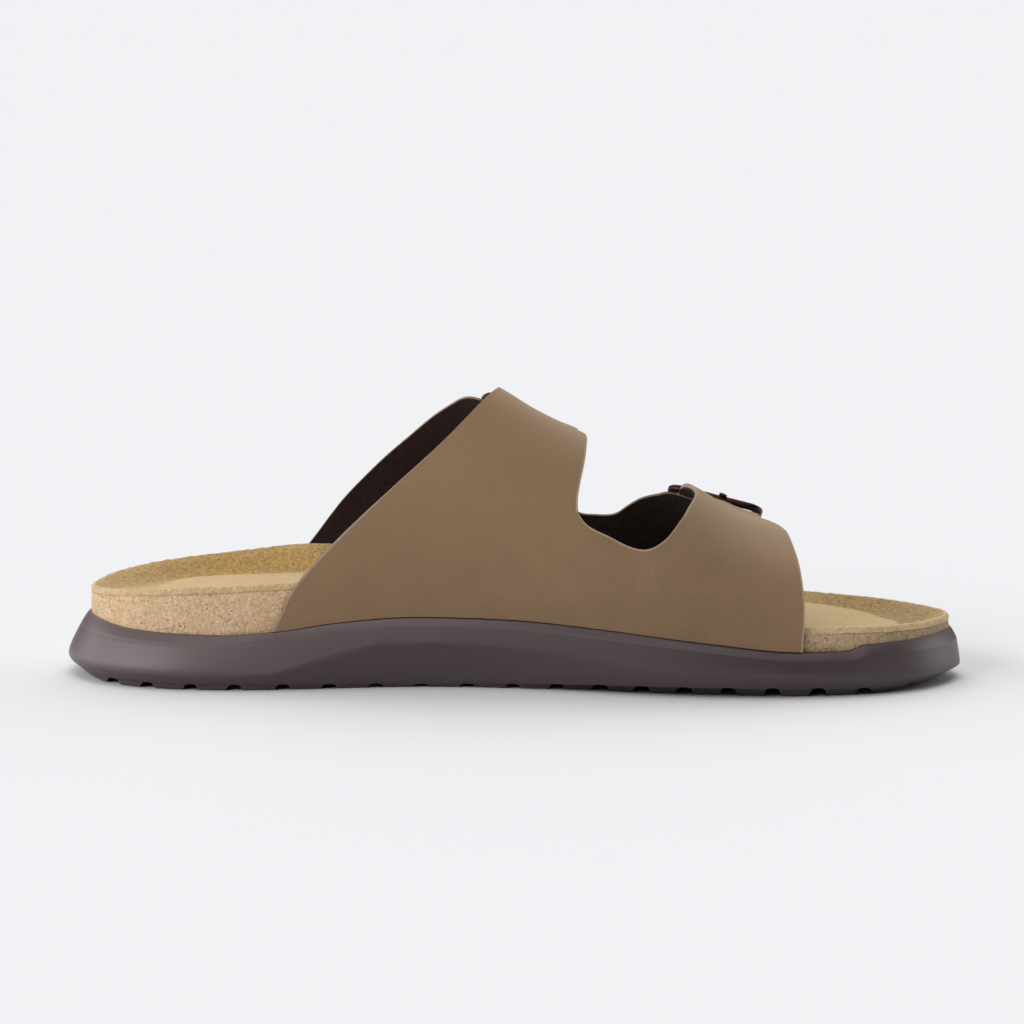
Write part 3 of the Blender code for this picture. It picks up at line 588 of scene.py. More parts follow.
def striped(path, count, both=False):
    """The polyline in count parts: one as thin as the edge strip at its end, or one at both ends."""
    length = run_along(path)[-1]
    thin = sizes().edge_strip / MM / length
    inner = np.linspace(thin if both else 0.0, 1 - thin, count - both)
    return resampled(path, np.concatenate([[0.0] if both else [], inner, [1.0]]) * length)


def parted(points, root, counts):
    """Smooth edge through the points, cut in two at its root point."""
    fine = spline(points)(FINE)
    cut = np.argmin(np.linalg.norm(fine - np.array(points[root]), axis=1))
    return striped(fine[: cut + 1], counts[0]), striped(fine[cut:], counts[1])


def smooth_step(value):
    value = np.clip(value, 0, 1)
    return value * value * (3 - 2 * value)


def nap(shape, seed):
    """Unevenness of a napped surface, smoothed over its neighbours and about -1 to 1."""
    field = np.random.default_rng(seed).normal(size=shape)
    for axis in (0, 1):
        field = (np.roll(field, 1, axis) + 2 * field + np.roll(field, -1, axis)) / 4
    return field / (2 * field.std())


class Outline:
    """Even columns round the sole's widest line: heel end, medial side, toe end, lateral side."""

    def __init__(self, columns):
        medial = [(station - HALF_LENGTH, y) for station, y, _ in SOLE_PLAN]
        lateral = [(station - HALF_LENGTH, y) for station, _, y in SOLE_PLAN]
        points = [(-HALF_LENGTH, HEEL_END_Y)] + medial + [(HALF_LENGTH, TOE_END_Y)] + lateral[::-1]
        fine = spline(points, closed=True)(np.linspace(0, 1, OUTLINE_POINTS, endpoint=False))
        fine -= (fine.max(axis=0) + fine.min(axis=0)) / 2
        fine = np.roll(fine, -np.argmin(fine[:, 0]), axis=0)
        toe = np.argmax(fine[:, 0])
        closed = np.vstack([fine, fine[:1]])
        self.half = columns // 2
        sides = [even(closed[: toe + 1], self.half)[:-1], even(closed[toe:], self.half)[:-1]]
        self.xy = np.vstack(sides)
        self.out = ways_out(self.xy)
        self.station = self.xy[:, 0] + HALF_LENGTH
        turn = np.arange(columns)
        self.medial = turn <= self.half
        self.order = np.minimum(turn, columns - turn) / self.half

    def side(self, table, name, station=None):
        """The table's medial or lateral column at each column of the outline."""
        where = self.station if station is None else station
        medial = table.at(name + "_medial", where)
        lateral = table.at(name + "_lateral", where)
        return np.where(self.medial, medial, lateral)

    def inset(self, amount):
        return self.xy - self.out * np.asarray(amount)[..., None]

    def spine(self, rim):
        """For each column, its point on the middle line of a rim."""
        x = SPINE_START + self.order * (SPINE_END - SPINE_START) - HALF_LENGTH
        medial = rim[: self.half + 1]
        lateral = np.vstack([rim[self.half :], rim[:1]])[::-1]
        medial_y = np.interp(x, medial[:, 0], medial[:, 1])
        lateral_y = np.interp(x, lateral[:, 0], lateral[:, 1])
        return np.column_stack([x, (medial_y + lateral_y) / 2])


class Last:
    """Inside of the upper: a straight wall beside the footbed, then a full arch over the foot."""

    # Samples along and round the foot, columns of the wall, start of the arch above the footbed's rim,
    # margin that keeps the last sample in reach, and distances over which the normal is taken
    START = -96.0
    END = 106.0
    STEP = 0.5
    SAMPLES = 300
    WALL_COLUMNS = 1600
    WALL_ABOVE_RIM = 1.0
    MARGIN = 0.001
    PROBE_ALONG = 0.6
    PROBE_ROUND = 0.8

    def __init__(self):
        line = Outline(self.WALL_COLUMNS)
        wall = line.inset(SOLE_INSETS.at("footbed", line.station) - GAP)
        lateral = np.vstack([wall[line.half :], wall[:1]])[::-1]
        self.x = np.arange(self.START, self.END + self.STEP, self.STEP)
        self.halves = {
            "medial": self.half_sections("medial", wall[: line.half + 1], MEDIAL_FULLNESS),
            "lateral": self.half_sections("lateral", lateral, LATERAL_FULLNESS),
        }

    def half_sections(self, side, wall, fullness):
        """Lengths of the sections and their points, evenly spaced from the crown to the sole."""
        station = self.x + HALF_LENGTH
        crown = LAST.at("crown", self.x)[:, None]
        crown_y = LAST.at("crown_y", self.x)[:, None]
        wall_y = np.interp(self.x, wall[:, 0], wall[:, 1])[:, None]
        base = SOLE_HEIGHTS.at("seat_" + side, station)[:, None] + GAP
        spring = FOOTBED.at("rim_" + side, station)[:, None] + self.WALL_ABOVE_RIM
        turn = np.linspace(np.pi / 2, 0, self.SAMPLES)[None]
        y = crown_y + (wall_y - crown_y) * np.cos(turn) ** (2 / fullness)
        z = spring + (crown - spring) * np.sin(turn) ** (2 / fullness)
        y = np.hstack([y, wall_y])
        z = np.hstack([z, base])
        lengths = []
        sections = []
        for row_y, row_z in zip(y, z):
            section = np.column_stack([row_y, row_z])
            lengths.append(np.hypot(np.diff(row_y), np.diff(row_z)).sum())
            sections.append(even(section, self.SAMPLES))
        return np.array(lengths), np.array(sections)

    def point(self, x, w):
        """Points for arrays of places along and round the foot."""
        x, w = np.broadcast_arrays(np.asarray(x, float), np.asarray(w, float))
        at = np.clip((x - self.START) / self.STEP, 0, len(self.x) - 1 - self.MARGIN)
        i = at.astype(int)
        near = (at - i)[..., None]
        found = np.zeros(x.shape + (2,))
        for side, mine in (("medial", w < 0), ("lateral", w >= 0)):
            lengths, sections = self.halves[side]
            length = lengths[i] * (1 - near[..., 0]) + lengths[i + 1] * near[..., 0]
            down = np.clip(np.abs(w) / length, 0, 1) * (self.SAMPLES - self.MARGIN)
            j = down.astype(int)
            part = (down - j)[..., None]
            here = sections[i, j] * (1 - part) + sections[i, j + 1] * part
            ahead = sections[i + 1, j] * (1 - part) + sections[i + 1, j + 1] * part
            found = np.where(mine[..., None], here * (1 - near) + ahead * near, found)
        return np.concatenate([x[..., None], found], axis=-1)

    def normal(self, x, w):
        along = self.point(x + self.PROBE_ALONG, w) - self.point(x - self.PROBE_ALONG, w)
        around = self.point(x, w + self.PROBE_ROUND) - self.point(x, w - self.PROBE_ROUND)
        return unit(np.cross(along, around))

    def lifted(self, x, w, n):
        """Points at a height n out from the foot."""
        x = np.asarray(x, float)
        w = np.asarray(w, float)
        return self.point(x, w) + self.normal(x, w) * np.asarray(n, float)[..., None]

    def from_side(self, rows, side):
        """Places on the foot of points given as seen from the side."""
        lengths, sections = self.halves[side]
        sign = -1.0 if side == "medial" else 1.0
        places = []
        for x, z in rows:
            i = int(round((x - self.START) / self.STEP))
            height = sections[i][:, 1]
            share = np.interp(z, height[::-1], np.linspace(1, 0, len(height)))
            places.append((x, sign * share * lengths[i]))
        return places


def patch(bottom, top, left, right):
    """Grid between four edges, as rows from bottom to top, with a thin cell at both ends of each row."""
    across = run_along(bottom)[:, None] / run_along(bottom)[-1]
    rows = []
    for i, share in enumerate(run_along(left) / run_along(left)[-1]):
        row = (1 - share) * bottom + share * top
        row = row + (1 - across) * (left[i] - row[0]) + across * (right[i] - row[-1])
        rows.append(row)
    rows = np.array(rows)
    for rim, strip, inner in ((0, 1, 2), (-1, -2, -3)):
        inward = rows[:, inner] - rows[:, rim]
        tangent = np.gradient(rows[:, rim], axis=0)
        square = np.abs(np.cross(tangent, inward)) / np.linalg.norm(tangent, axis=1)
        share = sizes().edge_strip / MM / np.maximum(square, THINNEST_CELL)
        rows[:, strip] = rows[:, rim] + inward * np.minimum(share, 0.5)[:, None]
    return rows


def line_between(start, end, count):
    return striped(np.array([start, end], float), count, both=True)


def straight_end(start, end, strap):
    return line_between(start, end, QUARTER_COLUMNS[strap])


def rounded_end(start, end, strap):
    """Half-oval from start to end that reaches the strap's tip and narrows on the way."""
    turn = np.linspace(-np.pi / 2, np.pi / 2, CURVE_POINTS)[:, None]
    middle = (start + end) / 2
    across = (end - start) / 2 * (1 - TIP_TAPER * np.cos(turn))
    reach = np.array([[0.0, STRAPS[strap]["tip"] - middle[1]]])
    return striped(middle + across * np.sin(turn) + reach * np.cos(turn), QUARTER_COLUMNS[strap], both=True)


def base_line(last, side, corners):
    """Lower edge of a quarter, divided like the edges above it."""
    count = QUARTER_COLUMNS
    ends = np.array([[corner[0]] for corner in corners])
    xs = np.vstack(
        [
            striped(ends[:2], count["rear"], both=True),
            even(ends[1:3], count["notch"])[1:],
            striped(ends[2:], count["front"], both=True)[1:],
        ]
    )
    return np.array(last.from_side([(x, 0) for x in xs[:, 0]], side))


def quarter_patches(last, side, edges, close):
    """Base, rear strap and front strap of a quarter, whose straps end in the line that close gives."""
    count = QUARTER_COLUMNS
    base_rows, rear_rows, front_rows = QUARTER_ROWS[side]
    rear_root, front_root = ROOTS[side]
    line = {name: last.from_side(seen, side) + list(rest) for name, (seen, rest) in edges.items()}
    rear_base, rear_arm = parted(line["rear"], rear_root, (base_rows, rear_rows))
    front_base, front_arm = parted(line["front"], front_root, (base_rows, front_rows))
    notch = even(spline(line["notch"])(FINE), count["notch"])
    rear_notch = striped(spline(line["rear_notch"])(FINE), rear_rows)
    front_notch = striped(spline(line["front_notch"])(FINE), front_rows)
    rear_line = line_between(rear_arm[0], notch[0], count["rear"])
    front_line = line_between(notch[-1], front_arm[0], count["front"])
    top = np.vstack([rear_line, notch[1:], front_line[1:]])
    bottom = base_line(last, side, (rear_base[0], notch[0], notch[-1], front_base[0]))
    rear_end = close(rear_arm[-1], rear_notch[-1], "rear")
    front_end = close(front_notch[-1], front_arm[-1], "front")
    base = patch(bottom, top, rear_base, front_base)
    rear = patch(rear_line, rear_end, rear_arm, rear_notch)
    front = patch(front_line, front_end, front_notch, front_arm)
    rear[0] = base[-1, : rear.shape[1]]
    front[0] = base[-1, -front.shape[1] :]
    return base, rear, front


def strap_sizes(x, name):
    """A size of the strap that each place belongs to."""
    return np.where(x < STRAP_BORDER, STRAPS["rear"][name], STRAPS["front"][name])


def tab_ends(x):
    """Where the tab under each place ends, round the foot."""
    ends = [np.interp(x, *zip(*size["tab"])) for size in STRAPS.values()]
    return np.where(x < STRAP_BORDER, *ends)


def tongue_lift(x, w):
    """Height of a tongue's underside: on the foot, then on the tab and over the buckle's loop."""
    thickness = (sizes().strap_face + sizes().strap_lining) / MM
    on_tab = (thickness - LAP_OVERLAP) * smooth_step((w - tab_ends(x)) / LAP_CLIMB + 1)
    over = PIVOT_HEIGHT + LOOP_OUTER_RADIUS - thickness + LAP_OVERLAP + GAP
    away = w + strap_sizes(x, "tilt") * (x - strap_sizes(x, "middle")) - strap_sizes(x, "pivot")
    return on_tab + over * np.exp(-((away / LOOP_HUMP) ** 2))


def tab_skive(x, w):
    """Share of its thickness that the lateral quarter keeps: thinned where a tongue lies on it."""
    thickness = (sizes().strap_face + sizes().strap_lining) / MM
    return 1 - (LAP_OVERLAP + LAP_SPARE) / thickness * smooth_step((LAP_FOOT - w) / LAP_FADE)


def creases(x, w):
    """Height of the soft creases that wear and pulling leave in the upper."""
    height = np.zeros(np.shape(x))
    for start, end, width, rise in CREASES:
        along = np.subtract(end, start)
        share = ((x - start[0]) * along[0] + (w - start[1]) * along[1]) / (along @ along)
        part = np.clip(share, 0, 1)
        away = np.hypot(x - start[0] - part * along[0], w - start[1] - part * along[1])
        height = height + rise * np.exp(-((away / width) ** 2))
    return height


def place(last, strap, u, w, n):
    """Points on a strap: u along the foot from its middle, w round the foot, n out from the foot."""
    size = STRAPS[strap]
    u, w, n = np.broadcast_arrays(*(np.asarray(value, float) for value in (u, w, n)))
    return last.lifted(size["middle"] + size["slant"] * w + u, w - size["tilt"] * u, n)


# Modelling


def clear_selection():
    if bpy.context.mode != "OBJECT":
        bpy.ops.object.mode_set(mode="OBJECT")
    bpy.ops.object.select_all(action="DESELECT")


def settle(piece, points):
    """Moves a mesh's vertices to points in millimetres."""
    piece.data.vertices.foreach_set("co", (points.reshape(-1, 3) * MM).astype(np.float32).ravel())
    piece.data.update()
    return piece


def add(operator, name, **settings):
    """Adds an object by an operator and names it."""
    clear_selection()
    operator(**settings)
    made = bpy.context.object
    made.name = name
    return made


def grid(name, points):
    """Grid whose rows and columns of vertices lie on an array of points."""
    rows, columns = points.shape[:2]
    cells = {"x_subdivisions": columns - 1, "y_subdivisions": rows - 1}
    piece = add(bpy.ops.mesh.primitive_grid_add, name, size=1, **cells)
    piece.data.name = name
    return settle(piece, points)


def select_only(*pieces):
    clear_selection()
    for piece in pieces:
        piece.select_set(True)
    bpy.context.view_layer.objects.active = pieces[0]


def join(pieces):
    select_only(*pieces)
    if len(pieces) > 1:
        bpy.ops.object.join()
    return pieces[0]


def edit(piece, operator, **settings):
    """Runs a mesh operator on the whole of a piece."""
    select_only(piece)
    bpy.ops.object.mode_set(mode="EDIT")
    bpy.ops.mesh.select_all(action="SELECT")
    operator(**settings)
    bpy.ops.object.mode_set(mode="OBJECT")


def merge(piece):
    """Merges vertices that lie together."""
    edit(piece, bpy.ops.mesh.remove_doubles, threshold=MERGE_DISTANCE * MM)


def weld(piece):
    """Closes a body and turns its faces out."""
    merge(piece)
    edit(piece, bpy.ops.mesh.normals_make_consistent, inside=False)
    return piece


def tube(name, rings):
    """Body through rings of equal columns; an end ring that folds on itself or to a point closes it."""
    points = np.array(rings)
    return grid(name, np.concatenate([points, points[:, :1]], axis=1))


def capped(name, rings):
    """Body through rings, closed by a point at both ends."""
    tips = [np.repeat(rings[k].mean(axis=0)[None], rings.shape[1], axis=0) for k in (0, -1)]
    return weld(tube(name, [tips[0], *rings, tips[1]]))


def modify(piece, kind, **settings):
    """Adds a modifier and applies it."""
    select_only(piece)
    modifier = piece.modifiers.new(kind.lower(), kind)
    for name, value in settings.items():
        setattr(modifier, name, value)
    bpy.ops.object.modifier_apply(modifier=modifier.name)


def cut(piece, cutter):
    modify(piece, "BOOLEAN", operation="DIFFERENCE", solver="MANIFOLD", object=cutter)
    bpy.data.objects.remove(cutter)


def deliver(piece, node, smooth_below):
    """Shades a piece, smooth where faces meet below an angle, and hands it over in place of a node."""
    select_only(piece)
    bpy.ops.object.shade_smooth_by_angle(angle=math.radians(smooth_below))
    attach(piece, BODY)
    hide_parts(node)


# Finishes


class Wire:
    """A socket that arithmetic works on; each operation adds a Math node."""

    def __init__(self, nodes, socket):
        self.nodes = nodes
        self.socket = socket

    def math(self, operation, first, second):
        return self.nodes.node("ShaderNodeMath", {"operation": operation}, {0: first, 1: second})

    def __add__(self, other):
        return self.math("ADD", self, other)

    def __sub__(self, other):
        return self.math("SUBTRACT", self, other)

    def __rsub__(self, other):
        return self.math("SUBTRACT", other, self)

    def __mul__(self, other):
        return self.math("MULTIPLY", self, other)

    def __gt__(self, other):
        return self.math("GREATER_THAN", self, other)

    def __lt__(self, other):
        return self.math("LESS_THAN", self, other)

    __radd__ = __add__


class Nodes:
    """A node tree and the one way to add nodes to it."""

    def __init__(self, tree):
        self.tree = tree

    def node(self, kind, settings, sockets, output=0):
        made = self.tree.nodes.new(kind)
        for name, value in settings.items():
            if name == "stops":
                self.set_stops(made.color_ramp, value)
            else:
                setattr(made, name, value)
        for name, value in sockets.items():
            self.feed(made.inputs[name], value)
        return Wire(self, made.outputs[output])

    def set_stops(self, ramp, stops):
        while len(ramp.elements) < len(stops):
            ramp.elements.new(0.5)
        for element, (position, colour) in zip(ramp.elements, stops):
            element.position = position
            element.color = (*colour, 1.0)

    def feed(self, socket, value):
        if isinstance(value, Wire):
            self.tree.links.new(value.socket, socket)
        else:
            socket.default_value = value

    def mix(self, share, first, second):
        """Colour between two colours."""
        ends = [value if isinstance(value, Wire) else (*value, 1.0) for value in (first, second)]
        return self.node("ShaderNodeMix", {"data_type": "RGBA"}, {0: share, 6: ends[0], 7: ends[1]}, 2)


class Finish(Nodes):
    """A material on a piece's own coordinates, with grain sizes in millimetres."""

    def __init__(self, name, constants):
        self.material = bpy.data.materials.new(name)
        self.material.use_nodes = True
        super().__init__(self.material.node_tree)
        self.shader = self.tree.nodes["Principled BSDF"]
        for socket, value in constants.items():
            self.shader.inputs[socket].default_value = value
        self.where = self.node("ShaderNodeTexCoord", {}, {}, "Object")

    def noise(self, grain, detail=2.0, output="Fac"):
        sockets = {"Vector": self.where, "Scale": 1 / (grain * MM), "Detail": detail}
        return self.node("ShaderNodeTexNoise", {}, sockets, output)

    def shaken(self, grain, amount):
        """Coordinates pushed about by noise."""
        push = self.noise(grain, 1.0, "Color")
        settings = {"operation": "MULTIPLY_ADD"}
        shift = (amount * MM,) * 3
        return self.node("ShaderNodeVectorMath", settings, {0: push, 1: shift, 2: self.where})

    def cells(self, grain, where, output):
        sockets = {"Vector": where, "Scale": 1 / (grain * MM)}
        return self.node("ShaderNodeTexVoronoi", {}, sockets, output)

    def lot(self, colour):
        """A number of its own for each cell."""
        return self.node("ShaderNodeSeparateColor", {}, {0: colour}, "Red")

    def ramp(self, share, stops):
        return self.node("ShaderNodeValToRGB", {"stops": stops}, {0: share})

    def between(self, value, low, high):
        """The value stretched from 0 at low to 1 at high."""
        return self.node("ShaderNodeMapRange", {}, {"Value": value, "From Min": low, "From Max": high})

    def place(self, axis):
        return self.node("ShaderNodeSeparateXYZ", {}, {0: self.where}, axis)

    def along(self, start, end, axis="X"):
        """From 1 at a place on an axis to 0 at another."""
        return self.between(self.place(axis), end * MM, start * MM)

    def tint(self, colour, *layers):
        """The colour made lighter and darker by layers around one half, each with its reach."""
        level = 1.0
        for layer, reach in layers:
            level = (layer - 0.5) * (2 * reach) + level
        settings = {"operation": "SCALE"}
        base = colour if isinstance(colour, Wire) else tuple(colour)
        return self.node("ShaderNodeVectorMath", settings, {0: base, "Scale": level})

    def paint(self, colour, height, depth, roughness=None):
        """Feeds the surface: colour, relief of a depth in millimetres and, where it varies, roughness."""
        self.feed(self.shader.inputs["Base Color"], colour)
        if roughness is not None:
            self.feed(self.shader.inputs["Roughness"], roughness)
        sockets = {"Height": height, "Distance": depth * MM, "Strength": 1.0}
        self.feed(self.shader.inputs["Normal"], self.node("ShaderNodeBump", {}, sockets))
        return self.material


def nubuck_finish():
    constants = {"Specular IOR Level": 0.3, "Sheen Weight": 0.3, "Sheen Roughness": 0.5}
    constants["Sheen Tint"] = (0.92, 0.74, 0.52, 1.0)
    made = Finish("nubuck_face", constants)
    nap = made.noise(0.45, 3.0)
    cloud = made.noise(9.0, 3.0)
    broad = made.noise(38.0)
    # Painted light: the straps are lighter towards their top, where light from above falls, and towards the
    # heel and the toe
    high = made.along(82, 24, "Z")
    ends = made.along(-50, 30) + made.along(88, 60) * 0.7
    layers = ((nap, 0.16), (cloud, 0.08), (broad, 0.06), (high, 0.10), (ends, 0.11))
    colour = made.tint(colours().nubuck, *layers)
    return made.paint(colour, nap + cloud * 0.8, 0.05, 0.72 + cloud * 0.12)


def cut_edge_finish():
    made = Finish("nubuck_edge", {"Roughness": 0.9, "Specular IOR Level": 0.2})
    fibre = made.noise(0.5, 3.0)
    return made.paint(made.tint(colours().cut_edge, (fibre, 0.3)), fibre, 0.12)


def felt_finish():
    constants = {"Roughness": 1.0, "Specular IOR Level": 0.1, "Sheen Weight": 0.08, "Sheen Roughness": 0.6}
    made = Finish("felt_lining", constants)
    fluff = made.noise(0.5, 4.0)
    clump = made.noise(2.0, 3.0)
    # Painted light: the lining is lighter towards the heel and towards its top, and darker towards the toe
    # and the sole
    layers = ((fluff, 0.9), (clump, 0.6), (made.along(-40, 45), 0.4), (made.along(84, 60, "Z"), 0.2))
    colour = made.tint(colours().felt, *layers)
    return made.paint(colour, fluff + clump * 0.5, 0.4)


def cork_finish():
    made = Finish("cork_grain", {"Roughness": 0.85, "Specular IOR Level": 0.25})
    tone = colours()
    where = made.shaken(0.8, 0.6)
    grain = made.lot(made.cells(0.8, where, "Color"))
    edges = made.cells(0.8, where, "Distance")
    speck = made.lot(made.cells(0.5, made.shaken(0.5, 0.4), "Color"))
    fine = made.noise(0.35)
    middle = np.array(tone.cork)
    stops = (
        (0.0, middle * (0.84, 0.76, 0.64)),
        (0.25, middle * (0.96, 0.95, 0.93)),
        (0.5, middle * (1.0, 0.94, 0.86)),
        (0.75, middle * (1.02, 1.02, 1.08)),
        (1.0, middle * (1.12, 1.15, 1.2)),
    )
    colour = made.ramp(grain, stops)
    colour = made.mix((speck > 0.965) * 0.5, colour, tone.cork_light)
    colour = made.mix((speck < 0.03) * 0.65, colour, tone.cork_dark)
    # Painted shade: the cork darkens towards the toe, where the upper shades it
    colour = made.tint(colour, (fine, 0.18), (made.noise(14.0), 0.10), (made.along(60, 125), 0.25))
    return made.paint(colour, grain * 0.5 - edges + fine * 0.6, 0.2)


def suede_finish():
    constants = {"Roughness": 0.95, "Specular IOR Level": 0.15, "Sheen Weight": 0.3, "Sheen Roughness": 0.5}
    made = Finish("suede_nap", constants)
    nap = made.between(made.noise(0.55, 3.0), 0.3, 0.7)
    tuft = made.between(made.noise(1.5, 3.0), 0.25, 0.75)
    # Painted shade: the suede darkens towards the toe
    layers = ((nap, 0.30), (tuft, 0.24), (made.noise(14.0), 0.15), (made.along(60, 125), 0.16))
    colour = made.tint(colours().suede, *layers)
    return made.paint(colour, nap * 0.6 + tuft, 0.32)


# Painted highlight: a paler copy of the suede for the sock's lit turned edge
def lit_lip_finish():
    constants = {"Roughness": 0.95, "Specular IOR Level": 0.15, "Sheen Weight": 0.2, "Sheen Roughness": 0.5}
    made = Finish("suede_lip_lit", constants)
    nap = made.between(made.noise(0.6, 3.0), 0.3, 0.7)
    colour = made.tint(colours().lip, (nap, 0.22), (made.noise(2.5, 3.0), 0.2))
    return made.paint(colour, nap, 0.2)


def pad_finish():
    constants = {"Roughness": 0.9, "Specular IOR Level": 0.2, "Sheen Weight": 0.2, "Sheen Roughness": 0.5}
    made = Finish("suede_smooth", constants)
    nap = made.noise(0.6, 4.0)
    tuft = made.noise(2.2, 3.0)
    colour = made.tint(colours().pad, (nap, 0.22), (tuft, 0.14), (made.noise(18.0), 0.08))
    return made.paint(colour, nap + tuft * 0.5, 0.14)


def foam_finish():
    """Foam with a painted highlight on its side at heel and toe, above the line of the arch scoop, and
    painted light that makes it lighter at the heel and darker at the toe.
    """
    made = Finish("foam_skin", {"Specular IOR Level": 0.6})
    pore = made.noise(0.35)
    cloud = made.noise(22.0, 3.0)
    medial = made.along(-5, 5, "Y")
    scoop = made.along(-42, -76) * 9.8 - made.along(100, -20) * 8.3
    flank = made.between(made.place("Z") * (1 / MM) - medial * scoop, 4.7, 6.9)
    ends = made.along(-35, 15) + made.along(128, 92) * 0.35
    # Painted highlight: the flank at heel and toe takes the paler colour in place of the light that it
    # catches
    highlighted = made.mix(flank * ends, colours().foam, colours().foam_painted_highlight)
    # Painted light: lighter towards the heel and darker towards the toe
    colour = made.tint(highlighted, (pore, 0.06), (cloud, 0.08), (made.along(-60, 60), 0.10))
    return made.paint(colour, pore + cloud * 0.3, 0.02, 0.38 + cloud * 0.08)


def bronze_finish():
    made = Finish("bronze_patina", {"Metallic": 1.0})
    patina = made.noise(2.5, 3.0)
    tone = np.array(colours().bronze)
    colour = made.mix(made.between(patina, 0.35, 0.75), tone * 0.6, tone * (1.7, 1.5, 1.4))
    return made.paint(colour, made.noise(0.8), 0.02, 0.24 + patina * 0.16)


# Pieces


def footbed_ring(line, reach, drop):
    """Ring on the footbed's top at a reach in from its rim, lowered by drop."""
    rim = line.inset(SOLE_INSETS.at("footbed", line.station))
    to_spine = line.spine(rim) - rim
    whole = np.linalg.norm(to_spine, axis=1)
    reach = np.clip(reach, 0, whole)
    xy = rim + to_spine * (reach / whole)[:, None]
    station = rim[:, 0] + HALF_LENGTH
    rim_height = line.side(FOOTBED, "rim", station)
    wall = line.side(FOOTBED, "wall", station)
    floor = FOOTBED.at("floor", xy[:, 0] + HALF_LENGTH)
    fall = 0.5 + 0.5 * np.cos(np.pi * np.clip(reach / wall, 0, 1))
    return np.column_stack([xy, floor + (rim_height - floor) * fall - drop])


def spine_reach(line):
    rim = line.inset(SOLE_INSETS.at("footbed", line.station))
    return np.linalg.norm(line.spine(rim) - rim, axis=1)


def middle_ring(line, inset, height):
    """Ring folded on the middle line, at the mean height of both sides."""
    return np.column_stack([line.spine(line.inset(inset)), (height + height[-np.arange(len(height))]) / 2])


def sole_rings():
    """Rings of the sole from the middle of the tread, up its side and into the footbed's well."""
    line = Outline(SOLE_COLUMNS)
    seat = line.side(SOLE_HEIGHTS, "seat")
    belly = line.side(BELLY, "height")
    well = line.side(SOLE_HEIGHTS, "well")
    skirt_in = line.side(SKIRT, "in")
    tread = TREAD.at("height", line.station)
    skirt = np.maximum(line.side(SKIRT, "height"), tread + LUG_LEAST_HEIGHT)
    lug_in = line.side(SKIRT, "lug")
    shoulder_in = SOLE_INSETS.at("shoulder", line.station)
    shoulder = seat - SOLE_INSETS.at("shoulder_drop", line.station)
    footbed_in = SOLE_INSETS.at("footbed", line.station)
    seat_in = footbed_in - SOLE_INSETS.at("shelf", line.station)
    depth, fade_start, fade_length = SHOULDER_LINE
    groove = depth * (1 - smooth_step((line.station - fade_start) / fade_length))
    bend = ROUND_BEND + (CREASE_BEND - ROUND_BEND) * line.side(SCOOP, "crease")

    def ring(inset, height):
        return np.column_stack([line.inset(inset), height])

    bottom = line.inset(lug_in + LUG_FOOT[0][0])
    spine = line.spine(bottom)
    rings = []
    for share in TREAD_SHARES:
        xy = bottom + share * (spine - bottom)
        rings.append(np.column_stack([xy, TREAD.at("height", xy[:, 0] + HALF_LENGTH)]))
    for inset, rise in LUG_FOOT:
        rings.append(ring(lug_in + inset, tread + rise))
    rings.append(ring(lug_in, skirt - SKIRT_EDGE[-1][1]))
    for inset, rise in SKIRT_EDGE:
        rings.append(ring(skirt_in + inset, skirt + rise))
    for share in FLANK_SHARES:
        rings.append(ring(skirt_in * share**bend, belly + share * (skirt + SKIRT_LIP - belly)))
    for share in SHOULDER_SHARES:
        lean = (math.hypot(share, BELLY_ROUND) - BELLY_ROUND) / (math.hypot(1, BELLY_ROUND) - BELLY_ROUND)
        rings.append(ring(shoulder_in * lean, belly + share * (shoulder - belly)))
    rings.append(ring(shoulder_in + groove, shoulder))
    for share in SHELF_SHARES:
        inset = shoulder_in + share * (seat_in - shoulder_in)
        rings.append(ring(inset, seat - (1 - share) ** SHELF_BEND * (seat - shoulder)))
    rings.append(ring(footbed_in - GAP, seat))
    rings.append(ring(footbed_in - GAP, well))
    rings.append(middle_ring(line, footbed_in - GAP, well))
    return rings


def lug_groove(station):
    """Swept groove across the tread, wider at its mouth than at its root."""
    groove = add(bpy.ops.mesh.primitive_cube_add, "lug_groove", size=2)
    edit(groove, bpy.ops.mesh.bisect, plane_co=(0, 0, 0), plane_no=(0, 1, 0))
    corners = np.array([vertex.co for vertex in groove.data.vertices])
    tread = TREAD.at("height", station)
    root = max(SKIRT.at("height_medial", station), tread + LUG_LEAST_HEIGHT) + LUG_GROOVE_TOP
    half_width = np.where(corners[:, 2] < 0, LUG_GAP_MOUTH, LUG_GAP_ROOT) / 2
    x = station - HALF_LENGTH + LUG_SWEEP * (1 - np.abs(corners[:, 1])) + corners[:, 0] * half_width
    z = np.where(corners[:, 2] < 0, LUG_GROOVE_FOOT, root)
    settle(groove, np.column_stack([x, corners[:, 1] * LUG_REACH, z]))
    modify(groove, "BEVEL", width=LUG_ROUNDING * MM, segments=3, limit_method="ANGLE")
    return groove


class SANDAL_OT_outsole(bpy.types.Operator):
    """Moulded foam sole with its arch scoop, toe guard and cross lugs"""

    bl_idname = "sandal.outsole"
    bl_label = "Outsole"

    def execute(self, context):
        sole = weld(tube("sole_unit", sole_rings()))
        cut(sole, join([lug_groove(station) for station in LUG_GROOVES]))
        sole.data.materials.clear()
        sole.data.materials.append(foam_finish())
        deliver(sole, "outsole", smooth_below=32)
        return {"FINISHED"}


